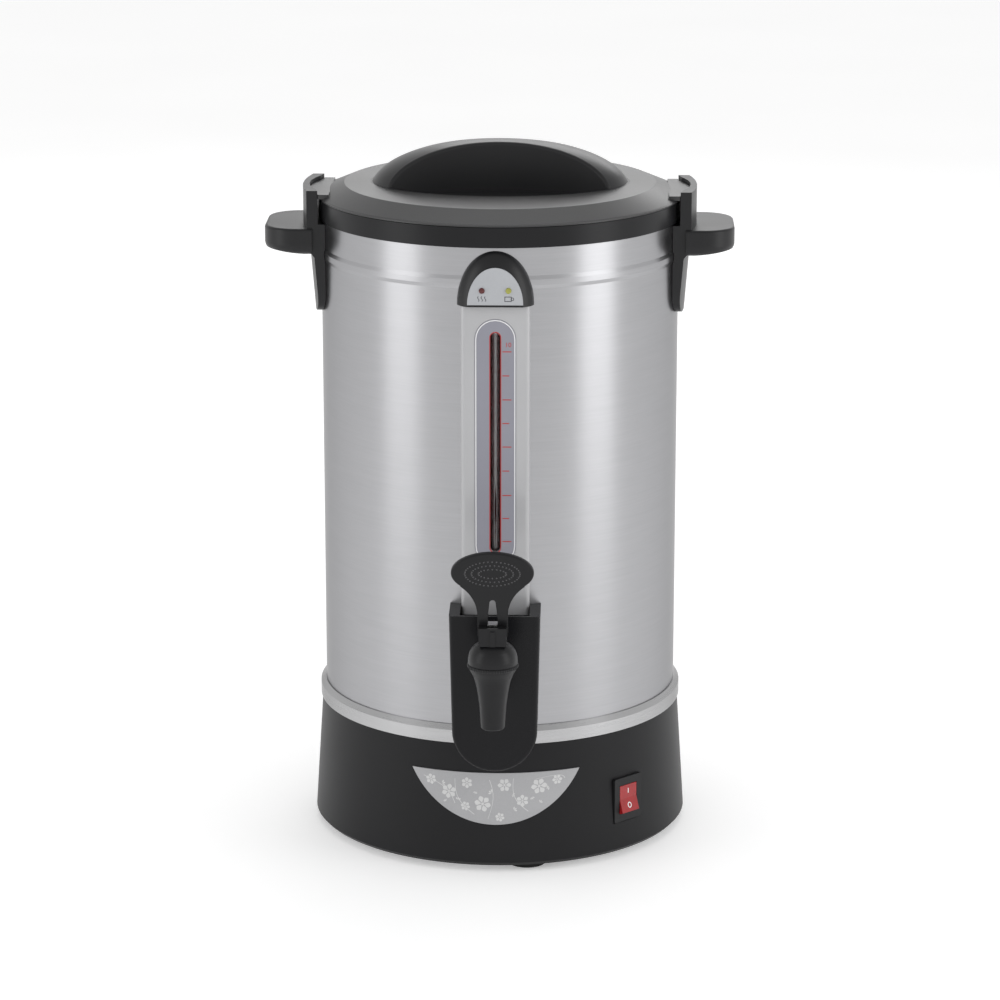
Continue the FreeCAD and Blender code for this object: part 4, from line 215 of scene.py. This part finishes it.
MATERIALS = {
    "base": plastic("base_black", (0.010, 0.010, 0.011), 0.44, 1600, 0.04, specular=0.20),
    "collar": plastic("collar_black", (0.009, 0.009, 0.010), 0.30, 1500, 0.03, specular=0.22),
    "handle": plastic("handle_black", (0.010, 0.010, 0.011), 0.38, 1500, 0.03, specular=0.32),
    "lid": plastic("lid_black", (0.030, 0.030, 0.031), 0.36, 900, 0.10, 0.16, specular=0.5),
    "grip": plastic("grip_black", (0.011, 0.011, 0.012), 0.34, 1400, 0.03, specular=0.34),
    "hood": plastic("hood_black", (0.008, 0.008, 0.009), 0.34, 1800, 0.01, specular=0.34),
    "guard": plastic("tap_cover_black", (0.005, 0.005, 0.006), 0.26, 1700, 0.015, specular=0.20),
    "tap": plastic("tap_black", (0.010, 0.010, 0.011), 0.32, 1300, 0.03, specular=0.24),
    # paddle dots: real raised glossy domes, but their grey, lighter than the tap's black, is a painted
    # glint
    "dots": plastic("dots_glint_grey", (0.045, 0.045, 0.047), 0.22, 1300, 0.01, specular=0.6),
    "panel": plastic("panel_grey", (0.40, 0.41, 0.43), 0.35, 1200, 0.01, 0.06),
    "scale": plastic("scale_grey", (0.25, 0.25, 0.29), 0.38, 1500, 0.01, 0.05),
    "silver": plastic("gauge_silver", (0.40, 0.40, 0.41), 0.24, 2000, 0.01, 0.04, coat=0.3, specular=0.8),
    "trough": plastic("trough_red", (0.20, 0.008, 0.008), 0.40, 900, 0.02),
    "rubber": plastic("rubber_black", (0.012, 0.012, 0.012), 0.75, 700, 0.06, specular=0.25),
    "silicone": plastic("silicone_white", (0.62, 0.62, 0.60), 0.5, 500, 0.03),
    "switch": plastic("switch_black", (0.009, 0.009, 0.010), 0.45, 1500, 0.04, specular=0.3),
    "ceramic": plastic("ceramic_white", (0.68, 0.66, 0.60), 0.5, 900, 0.05, 0.08),
    "mark": plastic("mark_red", (0.42, 0.03, 0.03), 0.5, 1200, 0.01),
    "ink": plastic("ink_dark", (0.06, 0.06, 0.07), 0.5, 1200, 0.01),
    "white": plastic("ink_white", (0.78, 0.78, 0.78), 0.5, 1200, 0.01, 0.05),
    "badge": plastic("badge_silver", (0.36, 0.36, 0.37), 0.38, 1100, 0.02, 0.10, coat=0.2),
    "petal": plastic("badge_petal", (0.58, 0.58, 0.58), 0.4, 900, 0.01, 0.05),
    "shell": brushed("shell_steel", (0.40, 0.40, 0.412), 0.30),
    "band": brushed("band_steel", (0.46, 0.46, 0.465), 0.27),
    "tank": brushed("tank_steel", (0.52, 0.52, 0.52), 0.34),
    "plate": metal("plate_steel", (0.45, 0.45, 0.46), 0.38, 180, 0.12),
    "zinc": metal("zinc_steel", (0.56, 0.56, 0.55), 0.3),
    "stem": metal("stem_steel", (0.58, 0.58, 0.58), 0.22),
    "brass": metal("bright_brass", (0.62, 0.47, 0.22), 0.25),
    "cast": metal("cast_aluminium", (0.52, 0.52, 0.52), 0.5, 260, 0.1),
    "element": metal("element_steel", (0.22, 0.23, 0.21), 0.42, 300, 0.15),
    "tube": clear("tube_glass", (0.94, 0.95, 0.96), 0.03, 1.0),
    "red_lamp": clear("lamp_red", (0.16, 0.010, 0.010), 0.08, 0.5),
    "green_lamp": clear("lamp_green", (0.50, 0.50, 0.08), 0.08, 0.5, 0.08),
    "rocker": clear("rocker_red", (0.36, 0.010, 0.013), 0.14, 0.15, 0.03),
}
DRESS = {
    "base_housing": "base", "base_plate": "plate", "rubber_feet": "rubber", "foot_screws": "zinc",
    "base_screws": "zinc", "outer_shell": "shell", "shell_band": "band", "inner_tank": "tank",
    "top_collar": "collar", "right_handle": "handle", "left_handle": "handle", "handle_screws": "zinc",
    "indicator_hood": "hood", "indicator_panel": "panel", "heating_lamp": "red_lamp",
    "keep_warm_lamp": "green_lamp", "gauge_cover": "silver", "gauge_scale_plate": "scale",
    "sight_tube": "tube", "gauge_trough": "trough", "gauge_seals": "silicone", "gauge_tee": "base",
    "tap_cover": "guard", "tap_body": "tap", "tap_washers": "silicone", "tap_nut": "zinc",
    "tap_bonnet": "tap", "tap_seat_cup": "silicone", "tap_stem": "stem", "tap_spring": "stem",
    "tap_lever": "tap", "tap_lever_pin": "stem", "badge_plate": "badge", "switch_bezel": "switch",
    "switch_rocker": "rocker", "power_inlet": "switch", "inlet_pins": "brass", "reset_bush": "switch",
    "reset_button": "rocker", "heater_plate": "cast", "heating_element": "element",
    "thermal_cutout": "ceramic", "keep_warm_thermostat": "ceramic", "tie_rods": "zinc", "tie_nuts": "zinc",
    "terminal_block": "ceramic", "terminal_screws": "brass", "earth_stud": "brass", "lid_shell": "lid",
    "lid_grip": "grip", "lid_liner": "tank", "lid_gasket": "silicone", "lid_screws": "zinc",
}
for name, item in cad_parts.items():
    item.data.materials.clear()
    item.data.materials.append(MATERIALS[DRESS[name]])


# Mesh helpers

def finish_piece(name, mesh, material, body, smooth=40):
    """Turn a bmesh into an object that rides on a body."""
    bmesh.ops.recalc_face_normals(mesh, faces=mesh.faces)
    data = bpy.data.meshes.new(name)
    mesh.to_mesh(data)
    mesh.free()
    item = bpy.data.objects.new(name, data)
    bpy.context.scene.collection.objects.link(item)
    data.materials.append(MATERIALS[material])
    data.shade_smooth()
    data.set_sharp_from_angle(angle=math.radians(smooth))
    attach(item, body)
    return item


def slab(mesh, outline, depth, carry):
    """Closed plate of an outline of x and z, thick along depth, each point carried by a function."""
    front = [mesh.verts.new(carry(x, z, 0)) for x, z in outline]
    back = [mesh.verts.new(carry(x, z, depth)) for x, z in outline]
    mesh.faces.new(front)
    mesh.faces.new(back[::-1])
    count = len(outline)
    for index in range(count):
        after = (index + 1) % count
        mesh.faces.new((front[after], front[index], back[index], back[after]))


def ring_slab(mesh, outer, inner, depth, carry):
    """Closed flat ring between two outlines of equal count."""
    loops = [[mesh.verts.new(carry(x, z, d)) for x, z in line]
             for d in (0, depth) for line in (outer, inner)]
    count = len(outer)
    for index in range(count):
        after = (index + 1) % count
        mesh.faces.new((loops[0][index], loops[0][after], loops[1][after], loops[1][index]))
        mesh.faces.new((loops[2][after], loops[2][index], loops[3][index], loops[3][after]))
        mesh.faces.new((loops[0][after], loops[0][index], loops[2][index], loops[2][after]))
        mesh.faces.new((loops[1][index], loops[1][after], loops[3][after], loops[3][index]))


def circle(x, z, radius_x, radius_z, count):
    return [(x + radius_x * math.cos(math.tau * index / count),
             z + radius_z * math.sin(math.tau * index / count)) for index in range(count)]


def rectangle(x_low, z_low, x_high, z_high):
    return [(x_low, z_low), (x_high, z_low), (x_high, z_high), (x_low, z_high)]


def on_plane(front):
    """Carry a drawing in millimetres to an upright plane at a distance in front of the urn's axis."""
    return lambda x, z, d: Vector((x * MM, AXIS_Y - (front - d) * MM, z * MM))


def dome(mesh, centre, axis, radius, rise, count=10, rings=3):
    """Small closed cap, as a raised dot."""
    axis = Vector(axis).normalized()
    side = axis.orthogonal().normalized()
    up = axis.cross(side)
    layers = []
    for ring in range(rings):
        bend = math.pi / 2 * ring / rings
        reach = radius * math.cos(bend)
        layers.append([mesh.verts.new(centre + axis * rise * math.sin(bend)
                                      + side * reach * math.cos(math.tau * k / count)
                                      + up * reach * math.sin(math.tau * k / count)) for k in range(count)])
    for lower, upper in zip(layers, layers[1:]):
        for k in range(count):
            mesh.faces.new((lower[k], lower[(k + 1) % count], upper[(k + 1) % count], upper[k]))
    tip = mesh.verts.new(centre + axis * rise)
    for k in range(count):
        mesh.faces.new((layers[-1][k], layers[-1][(k + 1) % count], tip))
    mesh.faces.new(layers[0][::-1])


# Gauge scale: marks and a plain number

PRINT_PROUD, PRINT_THICK = 0.06, 0.16
MARK_LEVELS = (355.2, 339.3, 323.4, 307.7, 292.0, 275.9, 259.5, 244.0, 228.4)
MARK_START, MARK_LONG, MARK_SHORT, MARK_HALF = 4.6, 10.4, 9.0, 0.32
low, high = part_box("gauge_scale_plate")
scale_face = on_plane((AXIS_Y - low[1]) / MM + PRINT_PROUD)
marks = bmesh.new()
for index, level in enumerate(MARK_LEVELS):
    reach = MARK_SHORT if index % 2 else MARK_LONG
    slab(marks, rectangle(MARK_START, level - MARK_HALF, reach, level + MARK_HALF), PRINT_THICK, scale_face)
finish_piece("scale_marks", marks, "mark", "urn")


def obround(half, bottom, top, count=12):
    """Outline with round ends, from its half width and its lowest and highest point."""
    outline = []
    for level, start in ((top - half, 0), (bottom + half, math.pi)):
        for k in range(count + 1):
            angle = start + math.pi * k / count
            outline.append((half * math.cos(angle), level + half * math.sin(angle)))
    return outline


BORDER_OUTER, BORDER_INNER = (12.9, 212.4, 376.1), (12.3, 213.0, 375.5)
EDGE_OUTER, EDGE_INNER = (3.85, 220.4, 368.3), (3.3, 221.0, 367.7)
border = bmesh.new()
ring_slab(border, obround(*BORDER_OUTER), obround(*BORDER_INNER), PRINT_THICK, scale_face)
finish_piece("scale_border", border, "white", "urn")
edge = bmesh.new()
ring_slab(edge, obround(*EDGE_OUTER), obround(*EDGE_INNER), PRINT_THICK, scale_face)
finish_piece("window_edge", edge, "mark", "urn")


def number_piece(name, text, size, x, z, carry, material, body):
    """Plain digits as a mesh laid on a face."""
    thick = 0.08
    curve = bpy.data.curves.new(name, "FONT")
    curve.body = text
    curve.size = size
    curve.align_x = "CENTER"
    curve.align_y = "CENTER"
    curve.extrude = thick
    drawn = bpy.data.objects.new(name + "_drawing", curve)
    data = bpy.data.meshes.new_from_object(drawn)
    bpy.data.objects.remove(drawn)
    mesh = bmesh.new()
    mesh.from_mesh(data)
    bmesh.ops.remove_doubles(mesh, verts=mesh.verts, dist=1e-5)
    for vert in mesh.verts:
        vert.co = carry(x + vert.co.x, z + vert.co.y, thick - vert.co.z)
    return finish_piece(name, mesh, material, body)


number_piece("scale_number", "10", 4.2, 8.3, 359.6, scale_face, "mark", "urn")

# Lamp panel: two plain pictograms

SIGN_PROUD, SIGN_THICK = 0.05, 0.12
WAVE_X, WAVE_LOW, WAVE_TALL, WAVE_SWING, WAVE_HALF, WAVE_STEPS = -8.55, 389.0, 3.4, 0.45, 0.24, 8
CUP_OUTER, CUP_INNER = (6.0, 388.9, 10.6, 392.3), (6.5, 389.4, 10.1, 391.8)
CUP_EAR = (11.1, 390.6)
low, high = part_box("indicator_panel")
panel_face = on_plane((AXIS_Y - low[1]) / MM + SIGN_PROUD)
signs = bmesh.new()
for shift in (-2.2, 0.0, 2.2):
    wave = [(WAVE_X + shift + WAVE_SWING * math.sin(k / WAVE_STEPS * math.tau),
             WAVE_LOW + WAVE_TALL * k / WAVE_STEPS) for k in range(WAVE_STEPS + 1)]
    outline = [(x - WAVE_HALF, z) for x, z in wave] + [(x + WAVE_HALF, z) for x, z in wave[::-1]]
    slab(signs, outline, SIGN_THICK, panel_face)
ring_slab(signs, rectangle(*CUP_OUTER), rectangle(*CUP_INNER), SIGN_THICK, panel_face)
ring_slab(signs, circle(*CUP_EAR, 1.1, 1.1, 16), circle(*CUP_EAR, 0.65, 0.65, 16), SIGN_THICK, panel_face)
finish_piece("panel_signs", signs, "ink", "urn")

# Badge: a loose print of round-petalled flowers and leaves on the half-moon plate

BASE_LOW, BASE_TOP = 4.0, 88.4
FOOT_R, TOP_R = 128.1, 122.6
BADGE_PROUD = 0.1 + 0.7 + 0.06
PETAL_THICK, PETAL_STEPS = 0.14, 7


def badge_face(x, z, d):
    """Carry a front-view drawing onto the badge's cone."""
    radius = FOOT_R - (z - BASE_LOW) * (FOOT_R - TOP_R) / (BASE_TOP - BASE_LOW) + BADGE_PROUD - d
    return Vector((x * MM, AXIS_Y - math.sqrt(radius * radius - x * x) * MM, z * MM))


def petal(mesh, x, z, direction, length, width):
    """Teardrop from a point outwards, its outline points laid on the plate's cone."""
    ahead = Vector((math.cos(direction), math.sin(direction)))
    aside = Vector((-ahead.y, ahead.x))
    left, right = [], []
    for k in range(PETAL_STEPS + 1):
        along = k / PETAL_STEPS
        half = width * math.sin(math.pi * (0.06 + 0.94 * along) ** 1.5) / 2 + 0.02
        spot = Vector((x, z)) + ahead * length * (0.18 + 0.82 * along)
        left.append(spot + aside * half)
        right.append(spot - aside * half)
    outline = [tuple(p) for p in left] + [tuple(p) for p in right[::-1]]
    slab(mesh, outline, PETAL_THICK, badge_face)


# each flower: x, z and size
FLOWERS = (
    (-43, 62.0, 3.6), (-31, 55.0, 5.0), (-19, 61.5, 3.8), (-8.5, 47.5, 5.6), (6, 60.5, 4.6),
    (18, 49.5, 4.2), (29, 59.0, 5.4), (41, 62.5, 3.4), (-20, 45.5, 3.2), (3, 38.5, 3.2),
)
PETALS = 6
# each sprig of three leaves: x, z, size and direction
SPRIGS = (
    (-36, 60, 2.6, 0.2), (-25, 49, 2.4, 1.4), (-2, 55, 2.8, 2.6), (12, 43, 2.6, 0.6), (24, 52, 2.2, 5.2),
    (36, 58, 2.4, 3.6), (-13, 56, 2.0, 4.4), (11, 54, 2.0, 5.9), (-33, 47.5, 1.8, 2.2),
    (29.5, 47.5, 2.0, 0.9),
)
# each stem: x and z of both ends, and how far it bends
STEMS = (
    (-48, 64, -27, 47, 4), (-27, 64, -14, 40, -4), (-4, 64, -5, 37, 3), (12, 65, 22, 42, -4),
    (27, 64, 46, 63, 5),
)
STEM_STEPS = 10
flowers = bmesh.new()
for x, z, size in FLOWERS:
    turn = random.uniform(0, math.tau)
    for k in range(PETALS):
        petal(flowers, x, z, turn + math.tau * k / PETALS, size, size * 0.62)
    heart = size * 0.16
    slab(flowers, circle(x, z, heart, heart, 10), PETAL_THICK, badge_face)
for x, z, size, turn in SPRIGS:
    for k in range(3):
        petal(flowers, x, z, turn + (k - 1) * 0.7, size, size * 0.36)
for x_from, z_from, x_to, z_to, belly in STEMS:
    upper, lower = [], []
    for k in range(STEM_STEPS + 1):
        along = k / STEM_STEPS
        bend = belly * math.sin(math.pi * along)
        x = x_from + (x_to - x_from) * along + bend
        z = z_from + (z_to - z_from) * along + bend * 0.4
        upper.append((x + 0.18, z + 0.12))
        lower.append((x - 0.18, z - 0.12))
    slab(flowers, upper + lower[::-1], PETAL_THICK, badge_face)
finish_piece("badge_flowers", flowers, "petal", "urn")

# Tap: raised dots on the paddle and a serrated joint ring

TAP_REACH = 188.0
TAP_Y = AXIS_Y - TAP_REACH * MM
LEAN = math.radians(12)
PIN = Vector((0, TAP_Y, 184.4 * MM))
PADDLE_CENTRE, PADDLE_FRONT = 44.8, 1.95
DOT_RADIUS, DOT_RISE = 0.62, 0.45
# each loop of dots: half width, half height and count
DOT_LOOPS = ((17.5, 8.6, 40), (13.3, 5.9, 30), (8.8, 3.2, 20))
dots = bmesh.new()
ahead = Vector((0, -math.cos(LEAN), -math.sin(LEAN)))
rise_way = Vector((0, -math.sin(LEAN), math.cos(LEAN)))
for half_x, half_z, count in DOT_LOOPS:
    for x, z in circle(0, PADDLE_CENTRE, half_x, half_z, count):
        spot = PIN + Vector((x * MM, 0, 0)) + rise_way * z * MM + ahead * PADDLE_FRONT * MM
        dome(dots, spot, ahead, DOT_RADIUS * MM, DOT_RISE * MM)
# the dots' lighter grey is a painted glint on top of their real gloss
finish_piece("paddle_dots", dots, "dots", "tap_handle")

TEETH = 60
RING_LOW, RING_HIGH, RING_EDGE = 163.0, 165.0, 0.3
TOOTH_RADIUS, GROOVE_RADIUS, RING_BORE = 16.5, 16.15, 15.7
serration = bmesh.new()


def ring_loop(level, crest, groove):
    """One loop of points round the tap's own axis, in and out with the teeth."""
    loop = []
    for k in range(TEETH * 2):
        reach = crest if k % 2 else groove
        angle = math.tau * k / (TEETH * 2)
        loop.append(serration.verts.new((reach * math.cos(angle) * MM,
                                         TAP_Y + reach * math.sin(angle) * MM, level * MM)))
    return loop


layers = [
    ring_loop(RING_LOW, TOOTH_RADIUS - RING_EDGE, GROOVE_RADIUS - RING_EDGE),
    ring_loop(RING_LOW + RING_EDGE, TOOTH_RADIUS, GROOVE_RADIUS),
    ring_loop(RING_HIGH - RING_EDGE, TOOTH_RADIUS, GROOVE_RADIUS),
    ring_loop(RING_HIGH, TOOTH_RADIUS - RING_EDGE, GROOVE_RADIUS - RING_EDGE),
    ring_loop(RING_HIGH, RING_BORE, RING_BORE),
    ring_loop(RING_LOW, RING_BORE, RING_BORE),
]
for lower, upper in zip(layers, layers[1:] + layers[:1]):
    for k in range(TEETH * 2):
        after = (k + 1) % (TEETH * 2)
        serration.faces.new((lower[k], lower[after], upper[after], upper[k]))
finish_piece("tap_joint_ring", serration, "tap", "urn", 20)

# Wall: the polished weld line up the back

low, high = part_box("outer_shell")
BEAD_DEPTH = 0.8
SHELL_R = (high[0] - low[0]) / 2 / MM - BEAD_DEPTH
SEAM_HALF, SEAM_PROUD, SEAM_SINK = 0.7, 0.04, 0.3
SEAM_LOW, SEAM_HIGH, SEAM_STEPS = 104.0, 394.0, 48


def back_face(x, z, d):
    """Carry a drawing onto the wall's back."""
    return Vector((x * MM, AXIS_Y + (SHELL_R + SEAM_PROUD - d) * MM, z * MM))


seam = bmesh.new()
levels = [SEAM_LOW + (SEAM_HIGH - SEAM_LOW) * k / SEAM_STEPS for k in range(SEAM_STEPS + 1)]
wander = [0.06 * math.sin(k * 1.7) + 0.04 * math.sin(k * 4.1) for k in range(SEAM_STEPS + 1)]
slab(seam, [(SEAM_HALF + shift, z) for z, shift in zip(levels, wander)]
     + [(-SEAM_HALF + shift, z) for z, shift in zip(levels[::-1], wander[::-1])], SEAM_SINK, back_face)
finish_piece("shell_seam", seam, "band", "urn")

# Rocker: the plain bar and ring of an on-off switch

SWITCH = math.radians(44.3)
SWITCH_LEVEL = 40.1
TILT = math.radians(9)
ROCKER_FACE, ROCKER_PRINT = 1.5, 0.05
PIVOT_R = 124.7 + 2.2 - ROCKER_FACE


def rocker_face(x, z, d):
    """Carry a drawing to the rocker's face, tilted as at rest."""
    out = ROCKER_FACE + abs(z) * math.tan(TILT) + ROCKER_PRINT - d
    reach = PIVOT_R + out * math.cos(TILT) - z * math.sin(TILT)
    level = SWITCH_LEVEL + z * math.cos(TILT) + out * math.sin(TILT)
    return Vector(((reach * math.sin(SWITCH) + x * math.cos(SWITCH)) * MM,
                   AXIS_Y + (-reach * math.cos(SWITCH) + x * math.sin(SWITCH)) * MM, level * MM))


signs = bmesh.new()
slab(signs, rectangle(-0.35, 3.4, 0.35, 6.8), SIGN_THICK, rocker_face)
ring_slab(signs, circle(0, -4.9, 1.7, 2.0, 24), circle(0, -4.9, 1.1, 1.4, 24), SIGN_THICK, rocker_face)
finish_piece("rocker_signs", signs, "white", "rocker")

# Stage, light and camera

FLOOR_DARK, FLOOR_LIGHT, FLOOR_GLOW = (0.93, 0.93, 0.93), (0.95, 0.95, 0.95), 0.28
SKY_LOW, SKY_HIGH = (0.95, 0.95, 0.95), (0.62, 0.62, 0.62)
floor_mesh = bmesh.new()
bmesh.ops.create_circle(floor_mesh, cap_ends=True, radius=30, segments=96)
floor_data = bpy.data.meshes.new("floor")
floor_mesh.to_mesh(floor_data)
floor_mesh.free()
floor = bpy.data.objects.new("floor", floor_data)
bpy.context.scene.collection.objects.link(floor)
floor_material, tree, shader = new_material("floor_white")
patches = noise(tree, position(tree), 3)
wire(tree, ramp(tree, patches, [(DARK_STOP, FLOOR_DARK), (LIGHT_STOP, FLOOR_LIGHT)]),
     shader.inputs["Base Color"])
shader.inputs["Roughness"].default_value = 0.9
shader.inputs["Specular IOR Level"].default_value = 0.1
shader.inputs["Emission Color"].default_value = (1, 1, 1, 1)
shader.inputs["Emission Strength"].default_value = FLOOR_GLOW
floor_data.materials.append(floor_material)

world = bpy.data.worlds.new("studio")
world.use_nodes = True
tree = world.node_tree
sky = node(tree, "ShaderNodeTexCoord")
parts = node(tree, "ShaderNodeSeparateXYZ")
wire(tree, sky.outputs["Generated"], parts.inputs[0])
background = tree.nodes["Background"]
wire(tree, ramp(tree, parts.outputs[2], [(0.0, SKY_LOW), (0.9, SKY_HIGH)]), background.inputs[0])
background.inputs[1].default_value = 1.0
bpy.context.scene.world = world


def area_light(name, azimuth, elevation, distance, width, tall, power):
    """Soft box aimed at the middle of the urn; azimuth 0 is in front, positive to the right."""
    turn, lift = math.radians(azimuth), math.radians(elevation)
    middle = Vector((0, AXIS_Y, 0.24))
    way = Vector((math.sin(turn) * math.cos(lift), -math.cos(turn) * math.cos(lift), math.sin(lift)))
    lamp = bpy.data.lights.new(name, "AREA")
    lamp.shape = "RECTANGLE"
    lamp.size = width
    lamp.size_y = tall
    lamp.energy = power
    item = bpy.data.objects.new(name, lamp)
    bpy.context.scene.collection.objects.link(item)
    item.location = middle + way * distance
    item.rotation_euler = (-way).to_track_quat("-Z", "Y").to_euler()
    item.visible_camera = False


area_light("left_box", -62, 12, 1.6, 0.7, 1.6, 5)
area_light("right_box", 64, 12, 1.6, 0.7, 1.6, 6.5)
area_light("back_box", 170, 26, 2.4, 1.5, 0.6, 6)
area_light("top_box", 180, 70, 2.4, 1.6, 1.0, 5)

camera_data = bpy.data.cameras.new("camera")
camera_data.sensor_width = 36
camera_data.lens = 133.55
camera_data.clip_end = 100
camera = bpy.data.objects.new("camera", camera_data)
bpy.context.scene.collection.objects.link(camera)
YAW = math.radians(1.4)
AWAY, ABOVE, PITCH = 2.4562, 0.8814, 0.2619
camera.location = (AWAY * math.sin(YAW), AXIS_Y - AWAY * math.cos(YAW), ABOVE)
camera.rotation_euler = (math.pi / 2 - PITCH, 0, YAW)
bpy.context.scene.camera = camera
bpy.context.scene.view_settings.view_transform = "Standard"
